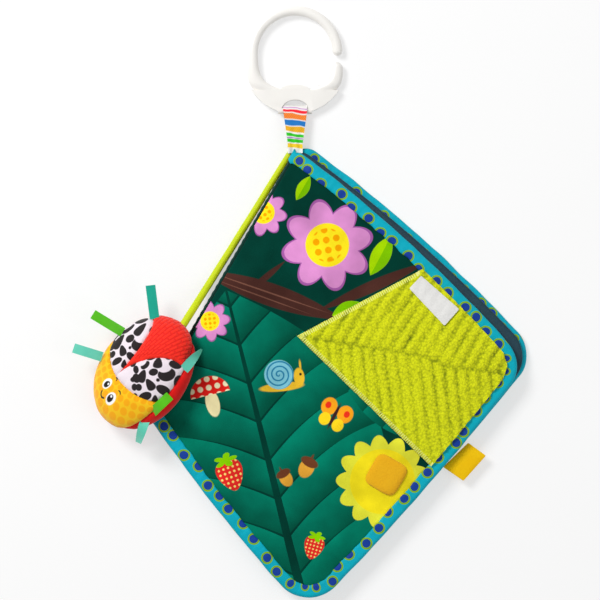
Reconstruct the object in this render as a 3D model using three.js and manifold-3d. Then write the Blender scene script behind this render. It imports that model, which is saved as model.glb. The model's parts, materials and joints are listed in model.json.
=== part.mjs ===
// Crinkle cloth book: two padded covers and a satin page sewn along one spine, a hanging ring on a ribbon
// strap, and a stuffed ladybug on a tether. It lies flat on its back cover, +Z up, in millimetres.
// The book's own frame has its origin at the top corner, x along the spine and y across the covers.
import * as THREE from "three";
import { mergeVertices } from "three/addons/utils/BufferGeometryUtils.js";
import Module from "manifold-3d";

const wasm = await Module();
wasm.setup();

const DEGREE = Math.PI / 180;

// Driving dimensions of the book
const corner_x = -1.9; // the book's top corner in the part's frame
const corner_y = 88.6;
const spine_turn = 239.93 * DEGREE; // which way the spine runs from the top corner
const spine_length = 175.4;
const head_length = 182.8;
const head_angle = 77.1 * DEGREE; // between spine and head edge, at the top corner
const tail_length = 151.2;
const tail_angle = 68.8 * DEGREE; // between the spine's line and the tail edge
const head_bow = 5; // how far each edge swells past its straight line
const fore_bow = 3;
const tail_bow = 3;
const fore_head_radius = 15.9;
const fore_tail_radius = 18.2;
const spine_corner_radius = 3;

// Layers
const hinge_height = 6.5; // the spine's turning line above the table
const cover_thickness = 4.6;
const page_thickness = 2.6;
const cover_page_gap = 0.6;
const seam_thickness = 1.5; // a cover where its layers are stitched together
const page_seam_thickness = 1.3;
const root_gap = 0.3; // between cover and page beside the spine
const layer_gap = 0.3;
const fabric_thickness = 0.6;
const satin_thickness = 0.5;
const film_thickness = 0.3;
const root_offset = 1.4; // where the layers start beside the turning line
const root_taper = 14; // how far from the spine the covers reach their full height
const seam_cord_radius = 1;

// Binding
const binding_width = 7.5;
const binding_thickness = 4.2;
const binding_fold_depth = 2.7; // cloth at the fold, outside the covered edge
const binding_edge_thickness = 2.9;
const binding_clearance = 0.3;
const binding_lip_share = 0.45; // of its full swell, where it starts beside the spine
const fabric_edge_inset = 3; // how far inside the binding's fold the cover's cloth ends
const swell_width = 11.5; // from the binding's stitch line to full thickness

// How the back cover and the page reach past the front cover
const back_reach = { spine: 6, head: 8.5, fore: 2.9, foot: -0.5, tail: -1.2 };
const page_reach = { spine: -0.8, head: 4.3, fore: 0.9, foot: -2, tail: -3.2 };
const back_corner_radius = 8;
const page_corner_radius = 4;

// Page tab: a folded tape at the fore edge
const tab_width = 20;
const tab_length = 17;
const tab_thickness = 1.2;
const tab_place_share = 0.34; // along the page's fore edge, from its head corner

// Chenille leaf, laid over the front cover's fore corner. Places on the cover are shares of it: first from
// head to tail, then from spine to fore edge.
const chenille_thickness = 2;
const chenille_gap = 0.4;
const flap_lining_thickness = 0.5;
const leaf_tip_shares = [0.443, 0.337];
const leaf_head_shares = [0.027, 0.54];
const leaf_foot_shares = [0.423, 0.972];
const fold_head_share = 0.88; // where the fold leaves the leaf's head edge, from its tip
const fold_gap = 0.6;

// Label and fleece patch
const label_length = 29;
const label_width = 11;
const label_thickness = 0.5;
const label_shares = [0.053, 0.637];
const label_turn = 78.8 * DEGREE;
const patch_side = 20;
const patch_thickness = 1.2;
const patch_shares = [0.539, 0.882];
const patch_turn = 82 * DEGREE;

// Ring and strap
const ring_x = -2.6;
const ring_height = 3.2; // the ring's middle above the table
const ring_outer_radius = 27.5;
const ring_rod_radius = 2.9;
const ring_gap = 3.6;
const ring_gap_angle = -8 * DEGREE;
const foot_thickness = 4;
const foot_arc_radius = 30.4;
const foot_edge_depth = 21.7; // from the ring's centre to the foot's upper edge
const foot_hump_width = 17;
const foot_hump_rise = 3.1;
const hump_shoulder_share = 0.8; // of half the hump's width
const bar_radius = 2.05;
const slot_width = 15.6;
const slot_height = 5.9; // from the bar's centre to the top of the slot
const slot_web = 0.25; // between the ring's rod and the top of the slot
const slot_bar_gap = 0.5; // the slot's floor, below the bar's top beside the strap
const strap_ply = 0.7;
const strap_bar_clearance = 0.35;
const strap_top_width = 14;
const strap_end_width = 8.7;
const strap_length = 19.15; // from the ring's bar to the corner seam
const strap_end_y = 92.5; // the strap turns up here, beside the end of the spine seam
const strap_end_thickness = 2;
const strap_hole_share = 0.85; // of the strap's length that its two plies lie apart

// Tether: its route from the corner to the ladybug's tail, height above the table last
const tether_radius = 1.75;
const tether_end_radius = 2.2;
const tether_end_low = 1.1;
const tether_pivot = [-3.2, 90.3];
const tether_route = [
  [-4.5, 88.2, 2.5],
  [-6.9, 84.4, 2.3],
  [-11.0, 77.9, 2.0],
  [-15.8, 70.2, 1.9],
  [-20.7, 62.2, 1.85],
  [-25.6, 54.2, 1.85],
  [-30.6, 46.2, 1.85],
  [-35.6, 38.2, 1.85],
  [-40.5, 30.2, 1.95],
  [-45.5, 22.3, 2.3],
  [-50.3, 14.5, 3.3],
  [-54.9, 7.1, 5.3],
  [-59.2, 0.1, 8.4],
  [-63.0, -6.1, 11.6],
  [-66.5, -11.8, 14.0],
];

// Ladybug
const bug_place_share = 0.8888; // of the spine's length, where its centre lies
const bug_y = -11.3; // beside the spine
const bug_height = 13.8;
const bug_lean = 19 * DEGREE; // it leans on the spine's edge
const bug_turn = -21.2 * DEGREE;
const bug_half_length = 31;
const bug_half_width = 29;
const bug_crown = 17;
const bug_belly = 9;
const panel_thickness = 1.2;
const seam_gap = 0.35;
const head_arc_radius = 25;
const head_arc_x = -9;
const head_arc_y = -3;
const leg_width = 6;
const leg_thickness = 0.5;
const leg_length = 17;
const leg_gap = 0.3;
const leg_shares = [0, 0.25, 0.5, 0.75, 1]; // of its length, where a leg bends
// Each leg: where it leaves the body, which way it turns from there, and how far its end rises
const legs = [
  { name: "ribbon_leg_left_rear", around: 221 * DEGREE, turn: 18 * DEGREE, rise: 4 },
  { name: "ribbon_leg_left_middle", around: 260 * DEGREE, turn: 30 * DEGREE, rise: 4.4 },
  { name: "ribbon_leg_left_front", around: 302 * DEGREE, turn: 4 * DEGREE, rise: 4 },
  { name: "ribbon_leg_right_rear", around: 147 * DEGREE, turn: 44 * DEGREE, rise: -1 },
  { name: "ribbon_leg_right_middle", around: 95 * DEGREE, turn: -60 * DEGREE, rise: -2 },
  { name: "ribbon_leg_right_front", around: 57 * DEGREE, turn: -35 * DEGREE, rise: -3 },
];

// Mesh detail
const arc_steps = 3; // at each corner of an outline
const edge_steps = 3; // along each edge of an outline
const rod_half_sides = 5; // an arc is drawn with twice as many sides as its segments
const ring_steps = 36;
const tether_half_sides = 4;
const cord_sides = 8;
const pivot_sides = 12;
const bug_segments = 20;
const bug_rings = 12;
const arc_seam_steps = 12;
const side_seam_steps = 6;
const merge_tolerance = 1e-4;
const overrun = 5; // how far a cutter runs past what it cuts

const clamp = (t) => Math.min(1, Math.max(0, t));
const lerp = (a, b, t) => a + (b - a) * t;

// Turns any closed geometry into a solid that can be cut and joined.
function solid(geometry) {
  const bare = geometry.clone();
  bare.deleteAttribute("normal");
  bare.deleteAttribute("uv");
  const merged = mergeVertices(bare, merge_tolerance);
  const vertProperties = new Float32Array(merged.attributes.position.array);
  const triVerts = new Uint32Array(merged.index.array);
  return new wasm.Manifold(new wasm.Mesh({ numProp: 3, vertProperties, triVerts }));
}

function geometryOf(body) {
  const made = body.getMesh();
  const count = made.numVert;
  const position = new Float32Array(count * 3);
  for (let i = 0; i < count; i += 1) {
    position.set(made.vertProperties.subarray(i * made.numProp, i * made.numProp + 3), i * 3);
  }
  const geometry = new THREE.BufferGeometry();
  geometry.setAttribute("position", new THREE.BufferAttribute(position, 3));
  geometry.setIndex(new THREE.BufferAttribute(new Uint32Array(made.triVerts), 1));
  geometry.computeVertexNormals();
  return geometry;
}

function piece(name, shape, color, roughness = 0.85, metalness = 0) {
  const geometry = shape.isBufferGeometry ? shape : geometryOf(shape);
  const material = new THREE.MeshStandardMaterial({ color, roughness, metalness });
  const mesh = new THREE.Mesh(geometry, material);
  mesh.name = name;
  return mesh;
}

function prism(points, low, high) {
  const shape = new THREE.Shape(points.map(([x, y]) => new THREE.Vector2(x, y)));
  const geometry = new THREE.ExtrudeGeometry(shape, { depth: high - low, bevelEnabled: false });
  geometry.translate(0, 0, low);
  return solid(geometry);
}

// Outlines: corners run spine head, spine tail, fore tail, fore head; edges run spine, tail, fore, head.
const head_step = [head_length * Math.cos(head_angle), head_length * Math.sin(head_angle)];
const tail_step = [tail_length * Math.cos(tail_angle), tail_length * Math.sin(tail_angle)];

function coverPlan(reach, corner_radius) {
  return {
    corners: [
      [-reach.spine, 0],
      [spine_length, 0],
      [spine_length + tail_step[0] + reach.tail, tail_step[1] + reach.foot],
      [head_step[0] - reach.head, head_step[1] + reach.fore],
    ],
    radii: [corner_radius, spine_corner_radius, fore_tail_radius, fore_head_radius],
    bows: [0, tail_bow, fore_bow, head_bow],
  };
}

const no_reach = { spine: 0, head: 0, fore: 0, foot: 0, tail: 0 };
const front_plan = coverPlan(no_reach, spine_corner_radius);
const back_plan = coverPlan(back_reach, back_corner_radius);
const page_plan = coverPlan(page_reach, page_corner_radius);

function insetCorners(plan, insets) {
  const count = plan.corners.length;
  const lines = plan.corners.map(([x, y], i) => {
    const [nx, ny] = plan.corners[(i + 1) % count];
    const size = Math.hypot(nx - x, ny - y);
    const along = [(nx - x) / size, (ny - y) / size];
    const inward = [-along[1], along[0]];
    return { from: [x + inward[0] * insets[i], y + inward[1] * insets[i]], along, inward };
  });
  const corners = lines.map((line, i) => {
    const before = lines[(i + count - 1) % count];
    const cross = before.along[0] * line.along[1] - before.along[1] * line.along[0];
    const dx = line.from[0] - before.from[0];
    const dy = line.from[1] - before.from[1];
    const t = (dx * line.along[1] - dy * line.along[0]) / cross;
    return [before.from[0] + before.along[0] * t, before.from[1] + before.along[1] * t];
  });
  return { lines, corners };
}

// Where an edge has its points: evenly, but an edge that leaves the spine has one where the covers reach
// their full height.
function edgeShares(start_y, end_y) {
  const rise = Math.abs(end_y - start_y);
  const low = Math.min(start_y, end_y);
  const taper_share = (root_taper - low) / rise;
  const first = taper_share > 0 && taper_share < 1 / edge_steps ? taper_share : 1 / edge_steps;
  const shares = [];
  for (let k = 0; k + 1 < edge_steps; k += 1) shares.push(lerp(first, 1, k / (edge_steps - 1)));
  return start_y < end_y ? shares : shares.map((share) => 1 - share).reverse();
}

// The outline drawn in by the given insets, with its corners rounded and its edges bowed.
function outline(plan, insets) {
  const { lines, corners } = insetCorners(plan, insets);
  const count = corners.length;
  const rounded = corners.map((corner, i) => {
    const before = lines[(i + count - 1) % count];
    const after = lines[i];
    const drawn_in = (insets[i] + insets[(i + count - 1) % count]) / 2;
    const radius = Math.max(plan.radii[i] - drawn_in, spine_corner_radius / 2);
    const turn = Math.acos(before.along[0] * after.along[0] + before.along[1] * after.along[1]);
    const reach = radius * Math.tan(turn / 2);
    const start = [corner[0] - before.along[0] * reach, corner[1] - before.along[1] * reach];
    const end = [corner[0] + after.along[0] * reach, corner[1] + after.along[1] * reach];
    const centre = [start[0] + before.inward[0] * radius, start[1] + before.inward[1] * radius];
    return { start, end, centre, turn, radius, inward: before.inward };
  });
  const bowAt = (edge, point) => {
    const a = plan.corners[edge];
    const b = plan.corners[(edge + 1) % count];
    const size = Math.hypot(b[0] - a[0], b[1] - a[1]);
    const along = lines[edge].along;
    const t = clamp(((point[0] - a[0]) * along[0] + (point[1] - a[1]) * along[1]) / size);
    const out = 4 * t * (1 - t) * plan.bows[edge];
    return [-lines[edge].inward[0] * out, -lines[edge].inward[1] * out];
  };
  const points = [];
  rounded.forEach((round, i) => {
    const before = (i + count - 1) % count;
    const first = bowAt(before, round.start);
    const last = bowAt(i, round.end);
    for (let k = 0; k <= arc_steps; k += 1) {
      const share = k / arc_steps;
      const turned = round.turn * share;
      const cos = Math.cos(turned);
      const sin = Math.sin(turned);
      const [ix, iy] = round.inward;
      const out = [-ix * cos + iy * sin, -ix * sin - iy * cos];
      points.push([
        round.centre[0] + out[0] * round.radius + lerp(first[0], last[0], share),
        round.centre[1] + out[1] * round.radius + lerp(first[1], last[1], share),
      ]);
    }
    const next = rounded[(i + 1) % count];
    edgeShares(round.end[1], next.start[1]).forEach((share) => {
      const point = [lerp(round.end[0], next.start[0], share), lerp(round.end[1], next.start[1], share)];
      const bow = bowAt(i, point);
      points.push([point[0] + bow[0], point[1] + bow[1]]);
    });
  });
  return points;
}

// A closed layer from nested rings: each ring has its points and its low and high sides as functions of y.
function layer(rings) {
  const count = rings[0].points.length;
  const position = [];
  rings.forEach((ring) => ring.points.forEach(([x, y]) => position.push(x, y, ring.high(y))));
  rings.forEach((ring) => ring.points.forEach(([x, y]) => position.push(x, y, ring.low(y))));
  const under = rings.length * count;
  const inner = rings[rings.length - 1];
  const middle = inner.points.reduce((sum, [x, y]) => [sum[0] + x / count, sum[1] + y / count], [0, 0]);
  const top_middle = position.length / 3;
  position.push(middle[0], middle[1], inner.high(middle[1]));
  position.push(middle[0], middle[1], inner.low(middle[1]));
  const index = [];
  for (let i = 0; i < count; i += 1) {
    const j = (i + 1) % count;
    for (let r = 0; r + 1 < rings.length; r += 1) {
      const a = r * count + i;
      const b = r * count + j;
      const c = a + count;
      const d = b + count;
      index.push(a, b, d, a, d, c);
      index.push(under + a, under + d, under + b, under + a, under + c, under + d);
    }
    const last = (rings.length - 1) * count;
    index.push(last + i, last + j, top_middle);
    index.push(under + last + j, under + last + i, top_middle + 1);
    index.push(i, under + i, under + j, i, under + j, j);
  }
  const geometry = new THREE.BufferGeometry();
  geometry.setAttribute("position", new THREE.Float32BufferAttribute(position, 3));
  geometry.setIndex(index);
  geometry.computeVertexNormals();
  return geometry;
}

// Nested rings of a cover and of the page, as shares: of the swell's width in from the stitch line, of the
// root's taper in from the spine, and of the full swell.
const cover_ring_shares = [[0, 0.3, 0], [0.4, 0.65, 0.34], [1, 1, 1], [4, 4.3, 1]];
const page_ring_shares = [[0, 0.4, 0.6], [0.5, 1, 1], [4, 4.3, 1]];
const ringsFrom = (edge_inset, shares) => [
  { bound: edge_inset, spine: root_offset, swell: 0 },
  ...shares.map(([across_share, taper_share, swell_share]) => ({
    bound: binding_width + swell_width * across_share,
    spine: root_taper * taper_share,
    swell: swell_share,
  })),
];
const cover_rings = ringsFrom(fabric_edge_inset, cover_ring_shares);
const page_rings = ringsFrom(0, page_ring_shares);

const root_step = page_seam_thickness / 2 + root_gap + seam_thickness / 2;
const full_step = page_thickness / 2 + cover_page_gap + cover_thickness / 2;
// The height of a cover's middle: side is 1 for the front cover, -1 for the back cover and 0 for the page.
const middleHeight = (side) => (y) =>
  hinge_height + side * lerp(root_step, full_step, clamp(y / root_taper));

const coverHalf = (swell) => lerp(seam_thickness, cover_thickness, swell) / 2;
const pageHalf = (swell) => lerp(page_seam_thickness, page_thickness, swell) / 2;

// One cloth or film layer: span gives its low and high side from the middle, for half the thickness there.
function clothLayer(plan, rings, half, middle, span) {
  return layer(
    rings.map((ring) => {
      const insets = [ring.spine, ring.bound, ring.bound, ring.bound];
      const [low, high] = span(half(ring.swell));
      return {
        points: outline(plan, insets),
        low: (y) => middle(y) + low,
        high: (y) => middle(y) + high,
      };
    }),
  );
}

const outwards = (side, low, high) => (side > 0 ? [low, high] : [-high, -low]);

// The layers of a cover, from its outer face to its lining.
function coverLayers(plan, side) {
  const middle = middleHeight(side);
  const inner_rings = cover_rings.slice(2);
  const make = (rings, span) => clothLayer(plan, rings, coverHalf, middle, span);
  const film_low = (half) => -half + fabric_thickness + layer_gap;
  return {
    outer: make(cover_rings, (half) => outwards(side, half - fabric_thickness, half)),
    lining: make(cover_rings, (half) => outwards(side, -half, -half + fabric_thickness)),
    film: make(inner_rings, (half) => outwards(side, film_low(half), film_low(half) + film_thickness)),
    padding: make(inner_rings, (half) =>
      outwards(
        side,
        film_low(half) + film_thickness + layer_gap,
        half - fabric_thickness - layer_gap,
      ),
    ),
  };
}

// Binding: a folded strip of cloth swept round tail, fore and head edges, open towards the cover's middle.
// Its outer side is given as shares of its width and of half its thickness.
const groove_half = seam_thickness / 2 + binding_clearance;
const binding_shares = [[0, 0.4], [0.14, 0.82], [0.47, 1], [0.8, 0.92]];
const binding_section = [
  ...binding_shares.map(([width_share, half_share]) => [
    binding_width * width_share,
    (binding_thickness / 2) * half_share,
  ]),
  [binding_width, binding_edge_thickness / 2],
  [binding_width, groove_half],
  [binding_fold_depth, groove_half],
];

function bindingGeometry(plan, side) {
  const middle = middleHeight(side);
  const section = [...binding_section, ...binding_section.map(([w, z]) => [w, -z]).reverse()];
  const first = arc_steps * 2 + edge_steps;
  const paths = section.map(([inset]) => {
    const ring = outline(plan, [binding_width, inset, inset, inset]);
    const path = [];
    for (let k = first; k <= ring.length; k += 1) path.push(ring[k % ring.length]);
    return path;
  });
  const stations = paths[0].map((_, k) =>
    section.map(([, z], i) => {
      const [x, y] = paths[i][k];
      const swell = lerp(binding_lip_share, 1, clamp(y / root_taper));
      const beyond = Math.max(0, Math.abs(z) - groove_half) * swell;
      const height = Math.min(Math.abs(z), groove_half) + beyond;
      return [x, y, middle(y) + Math.sign(z) * height];
    }),
  );
  return sweep(stations, section);
}

// A closed solid through stations that each hold the same section's points, with a cap at both ends.
function sweep(stations, section) {
  const sides = section.length;
  const contour = section.map(([a, b]) => new THREE.Vector2(a, b));
  const area = THREE.ShapeUtils.area(contour);
  const caps = THREE.ShapeUtils.triangulateShape(contour, []).map((face) => {
    const turned = THREE.ShapeUtils.area(face.map((at) => contour[at]));
    return turned * area > 0 ? face : [face[0], face[2], face[1]];
  });
  const index = [];
  for (let k = 0; k + 1 < stations.length; k += 1) {
    for (let i = 0; i < sides; i += 1) {
      const a = k * sides + i;
      const b = k * sides + ((i + 1) % sides);
      index.push(a, b, b + sides, a, b + sides, a + sides);
    }
  }
  const last = (stations.length - 1) * sides;
  caps.forEach(([a, b, c]) => index.push(a, c, b, last + a, last + b, last + c));
  const geometry = new THREE.BufferGeometry();
  geometry.setAttribute("position", new THREE.Float32BufferAttribute(stations.flat(2), 3));
  geometry.setIndex(index);
  geometry.computeVertexNormals();
  return outwardFacing(geometry);
}

function outwardFacing(geometry) {
  if (solid(geometry).volume() >= 0) return geometry;
  const index = Array.from(geometry.index.array);
  for (let i = 0; i < index.length; i += 3) {
    [index[i + 1], index[i + 2]] = [index[i + 2], index[i + 1]];
  }
  geometry.setIndex(index);
  geometry.computeVertexNormals();
  return geometry;
}

// Cloth laid on the front cover: a sheet over the whole cover, cut to the piece's outline.
const front_middle = middleHeight(1);
function laidOnCover(points, lift, thickness) {
  const sheet = layer(
    cover_rings.map((ring) => ({
      points: outline(front_plan, [ring.spine, ring.bound, ring.bound, ring.bound]),
      low: (y) => front_middle(y) + coverHalf(ring.swell) + lift,
      high: (y) => front_middle(y) + coverHalf(ring.swell) + lift + thickness,
    })),
  );
  return solid(sheet).intersect(prism(points, 0, cover_top * 2));
}

const cover_top = hinge_height + full_step + cover_thickness / 2;

function turnedBox([x, y], length, width, turn) {
  const corners = [[-1, -1], [1, -1], [1, 1], [-1, 1]];
  return corners.map(([a, b]) => {
    const along = (a * length) / 2;
    const across = (b * width) / 2;
    return [
      x + along * Math.cos(turn) - across * Math.sin(turn),
      y + along * Math.sin(turn) + across * Math.cos(turn),
    ];
  });
}

// The book's pieces, in its own frame
const back = coverLayers(back_plan, -1);
const front = coverLayers(front_plan, 1);
const pageLayer = (span) => clothLayer(page_plan, page_rings, pageHalf, middleHeight(0), span);

const back_cover = new THREE.Group();
back_cover.add(
  piece("back_cover_outer_fabric", back.outer, "#00705c"),
  piece("back_cover_padding", back.padding, "#f2f2ee"),
  piece("back_cover_crinkle_film", back.film, "#dfe6ea", 0.3),
  piece("back_cover_lining", back.lining, "#00463a"),
  piece("back_cover_binding", bindingGeometry(back_plan, -1), "#00a6bc"),
);

// The seam runs past the corner as far as the strap's rounded end.
const strap_tip_y = strap_end_y - strap_end_thickness / 2;
const seam_rise = strap_tip_y - layer_gap - corner_y + seam_cord_radius * Math.cos(spine_turn);
const seam_reach = seam_rise / -Math.sin(spine_turn);
const seam_length = spine_length + seam_reach;
const seam_cord = new THREE.CylinderGeometry(seam_cord_radius, seam_cord_radius, seam_length, cord_sides);
seam_cord.rotateZ(Math.PI / 2);
seam_cord.translate(seam_length / 2 - seam_reach, 0, hinge_height);
back_cover.add(piece("spine_seam", seam_cord, "#00463a"));

const inner_page = new THREE.Group();
const page_film_span = [-film_thickness / 2, film_thickness / 2];
inner_page.add(
  piece("inner_page_front_satin", pageLayer((half) => [half - satin_thickness, half]), "#22485a", 0.5),
  piece("inner_page_crinkle_film", pageLayer(() => page_film_span), "#dfe6ea", 0.3),
  piece("inner_page_back_satin", pageLayer((half) => [-half, -half + satin_thickness]), "#22485a", 0.5),
);

const page_corners = page_plan.corners;
const fore_start = page_corners[3];
const fore_end = page_corners[2];
const fore_size = Math.hypot(fore_end[0] - fore_start[0], fore_end[1] - fore_start[1]);
const fore_along = [(fore_end[0] - fore_start[0]) / fore_size, (fore_end[1] - fore_start[1]) / fore_size];
const fore_out = [-fore_along[1], fore_along[0]];
const tab_bow = 4 * tab_place_share * (1 - tab_place_share) * fore_bow;
const tab_reach = tab_bow + layer_gap + tab_length / 2;
const tab_centre = [0, 1].map(
  (axis) => fore_start[axis] + fore_along[axis] * fore_size * tab_place_share + fore_out[axis] * tab_reach,
);
const tab = new THREE.BoxGeometry(tab_width, tab_length, tab_thickness);
tab.rotateZ(Math.atan2(fore_along[1], fore_along[0]));
tab.translate(tab_centre[0], tab_centre[1], hinge_height);
inner_page.add(piece("page_tab", tab, "#ffc800"));

const front_cover = new THREE.Group();
front_cover.add(
  piece("front_cover_outer_fabric", front.outer, "#00705c"),
  piece("front_cover_padding", front.padding, "#f2f2ee"),
  piece("front_cover_crinkle_film", front.film, "#dfe6ea", 0.3),
  piece("front_cover_lining", front.lining, "#22485a"),
  piece("front_cover_binding", bindingGeometry(front_plan, 1), "#00a6bc"),
);

// Places on the front cover, as shares of it
function onCover([down, across]) {
  const [spine_head, spine_tail, fore_tail, fore_head] = front_plan.corners;
  return [0, 1].map((axis) =>
    lerp(
      lerp(spine_head[axis], spine_tail[axis], down),
      lerp(fore_head[axis], fore_tail[axis], down),
      across,
    ),
  );
}

// The chenille leaf: a sewn corner, and a free tip that lifts about a fold.
const between = (a, b, t) => [0, 1].map((axis) => lerp(a[axis], b[axis], t));
const leaf_tip = onCover(leaf_tip_shares);
const leaf_head = onCover(leaf_head_shares);
const leaf_foot = onCover(leaf_foot_shares);
const fold_head = between(leaf_tip, leaf_head, fold_head_share);
const fold_foot = leaf_foot;
const fold_size = Math.hypot(fold_foot[0] - fold_head[0], fold_foot[1] - fold_head[1]);
const fold_along = [0, 1].map((axis) => (fold_foot[axis] - fold_head[axis]) / fold_size);
const pastFold = ([x, y], out) => [x - fold_along[1] * out, y + fold_along[0] * out];
const inside_binding = binding_width + binding_clearance;
const sewn_area = outline(front_plan, [binding_width, inside_binding, inside_binding, inside_binding]);
const past_corner = between(leaf_tip, front_plan.corners[3], 1 + binding_width / head_length);
const past_foot = between(leaf_head, leaf_foot, 1 + binding_width / fold_size);
const past_head = between(leaf_foot, leaf_head, 1 + binding_width / fold_size);
const corner_leaf = [
  pastFold(fold_head, fold_gap / 2),
  pastFold(fold_foot, fold_gap / 2),
  past_foot,
  past_corner,
  past_head,
  leaf_head,
];
const tip_leaf = [pastFold(fold_head, -fold_gap / 2), leaf_tip, pastFold(fold_foot, -fold_gap / 2)];
const onSewnArea = (body) => body.intersect(prism(sewn_area, 0, cover_top * 2));
const sewn_leaf = onSewnArea(laidOnCover(corner_leaf, chenille_gap, chenille_thickness));
const flap_lift = chenille_gap + flap_lining_thickness + layer_gap;
const flap_pile = chenille_thickness - flap_lining_thickness - layer_gap;
const flap_chenille = onSewnArea(laidOnCover(tip_leaf, flap_lift, flap_pile));
const flap_lining = onSewnArea(laidOnCover(tip_leaf, chenille_gap, flap_lining_thickness));
const label_lift = chenille_gap + chenille_thickness + layer_gap;
const label_area = turnedBox(onCover(label_shares), label_length, label_width, label_turn);
const patch_area = turnedBox(onCover(patch_shares), patch_side, patch_side, patch_turn);
front_cover.add(
  piece("chenille_leaf_corner", sewn_leaf, "#d2dc10", 0.95),
  piece("sewn_label", onSewnArea(laidOnCover(label_area, label_lift, label_thickness)), "#f4f2ee"),
  piece("fleece_patch", onSewnArea(laidOnCover(patch_area, chenille_gap, patch_thickness)), "#f0b800", 0.95),
);
const leaf_flap = new THREE.Group();
leaf_flap.add(
  piece("chenille_leaf_flap", flap_chenille, "#d2dc10", 0.95),
  piece("leaf_flap_lining", flap_lining, "#8cb400"),
);

// Hanging ring, in its own frame: the ring's centre at the origin, its bar towards -y
const ring_middle_radius = ring_outer_radius - ring_rod_radius;
const gap_turn = (ring_gap + 2 * ring_rod_radius) / ring_middle_radius;
class RingCurve extends THREE.Curve {
  getPoint(t, target = new THREE.Vector3()) {
    const angle = ring_gap_angle + gap_turn / 2 + t * (Math.PI * 2 - gap_turn);
    return target.set(Math.cos(angle) * ring_middle_radius, Math.sin(angle) * ring_middle_radius, 0);
  }
}
const rod_section = new THREE.Shape();
rod_section.absarc(0, 0, ring_rod_radius, 0, Math.PI * 2);
const ring_curve = new RingCurve();
const ring_rod = new THREE.ExtrudeGeometry(rod_section, {
  steps: ring_steps,
  curveSegments: rod_half_sides,
  extrudePath: ring_curve,
});
const tips = [0, 1].map((t) => {
  const tip = new THREE.SphereGeometry(ring_rod_radius, rod_half_sides * 2, rod_half_sides);
  const place = ring_curve.getPoint(t);
  tip.rotateX(Math.PI / 2);
  tip.translate(place.x, place.y, 0);
  return solid(tip);
});
const bar_y = -(ring_outer_radius + slot_web + slot_height);
const foot_depth = bar_radius - bar_y; // from the ring's centre to the foot's lowest edge
const foot_arc_y = foot_arc_radius - foot_depth;
const foot_shape = new THREE.Shape();
const foot_reach = Math.sqrt(foot_arc_radius ** 2 - (foot_edge_depth + foot_arc_y) ** 2);
const foot_turn = Math.asin((foot_edge_depth + foot_arc_y) / foot_arc_radius);
foot_shape.absarc(0, foot_arc_y, foot_arc_radius, Math.PI + foot_turn, Math.PI * 2 - foot_turn);
const hump_half = foot_hump_width / 2;
const hump_shoulder = hump_half * hump_shoulder_share;
const hump_y = foot_hump_rise - foot_edge_depth;
foot_shape.quadraticCurveTo((foot_reach + hump_half) / 2, -foot_edge_depth, hump_half, -foot_edge_depth);
foot_shape.quadraticCurveTo(hump_shoulder, hump_y, 0, hump_y);
foot_shape.quadraticCurveTo(-hump_shoulder, hump_y, -hump_half, -foot_edge_depth);
foot_shape.quadraticCurveTo(-(foot_reach + hump_half) / 2, -foot_edge_depth, -foot_reach, -foot_edge_depth);
const slot = new THREE.Path();
const slot_floor = bar_y + bar_radius - slot_bar_gap;
slot.moveTo(-slot_width / 2, slot_floor);
slot.lineTo(slot_width / 2, slot_floor);
slot.quadraticCurveTo(slot_width / 2, bar_y + slot_height, 0, bar_y + slot_height);
slot.quadraticCurveTo(-slot_width / 2, bar_y + slot_height, -slot_width / 2, slot_floor);
const slot_mouth = [
  [-slot_width / 2, slot_floor],
  [-slot_width / 2, -foot_depth - overrun],
  [slot_width / 2, -foot_depth - overrun],
  [slot_width / 2, slot_floor],
];
foot_shape.holes.push(slot);
const foot = new THREE.ExtrudeGeometry(foot_shape, {
  depth: foot_thickness,
  bevelEnabled: false,
  curveSegments: rod_half_sides * 2,
});
foot.translate(0, 0, -foot_thickness / 2);
const bar_length = slot_width + 2 * bar_radius;
const bar = new THREE.CylinderGeometry(bar_radius, bar_radius, bar_length, rod_half_sides * 2);
bar.rotateZ(Math.PI / 2);
bar.translate(0, bar_y, 0);
const ring_body = solid(ring_rod)
  .add(tips[0])
  .add(tips[1])
  .add(solid(foot))
  .subtract(prism(slot_mouth, -foot_thickness, foot_thickness))
  .add(solid(bar));

// Strap: a ribbon loop round the ring's bar, in a frame with the bar at the origin and the corner towards -y
const loop_inner = bar_radius + strap_bar_clearance;
const loop_outer = loop_inner + strap_ply;
const end_middle = hinge_height - ring_height;
const end_low = end_middle - strap_end_thickness / 2;
const end_high = end_middle + strap_end_thickness / 2;
const strap_shape = new THREE.Shape();
strap_shape.moveTo(-strap_length, end_low);
strap_shape.lineTo(0, -loop_outer);
strap_shape.absarc(0, 0, loop_outer, -Math.PI / 2, Math.PI / 2);
strap_shape.absarc(-strap_length, end_middle, strap_end_thickness / 2, Math.PI / 2, Math.PI * 1.5);
const hole_end = -strap_length * strap_hole_share;
const strap_hole = new THREE.Path();
strap_hole.moveTo(hole_end, lerp(-loop_outer, end_low, strap_hole_share) + strap_ply);
strap_hole.lineTo(0, -loop_inner);
strap_hole.absarc(0, 0, loop_inner, -Math.PI / 2, Math.PI / 2);
strap_hole.lineTo(hole_end, lerp(loop_outer, end_high, strap_hole_share) - strap_ply);
strap_shape.holes.push(strap_hole);
const strap = new THREE.ExtrudeGeometry(strap_shape, {
  depth: strap_top_width,
  bevelEnabled: false,
  curveSegments: rod_half_sides * 2,
});
strap.translate(0, 0, -strap_top_width / 2);
strap.rotateX(Math.PI / 2);
strap.rotateZ(Math.PI / 2);
const strap_points = strap.attributes.position;
for (let i = 0; i < strap_points.count; i += 1) {
  const share = clamp(-strap_points.getY(i) / strap_length);
  strap_points.setX(i, strap_points.getX(i) * lerp(1, strap_end_width / strap_top_width, share));
}

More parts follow.
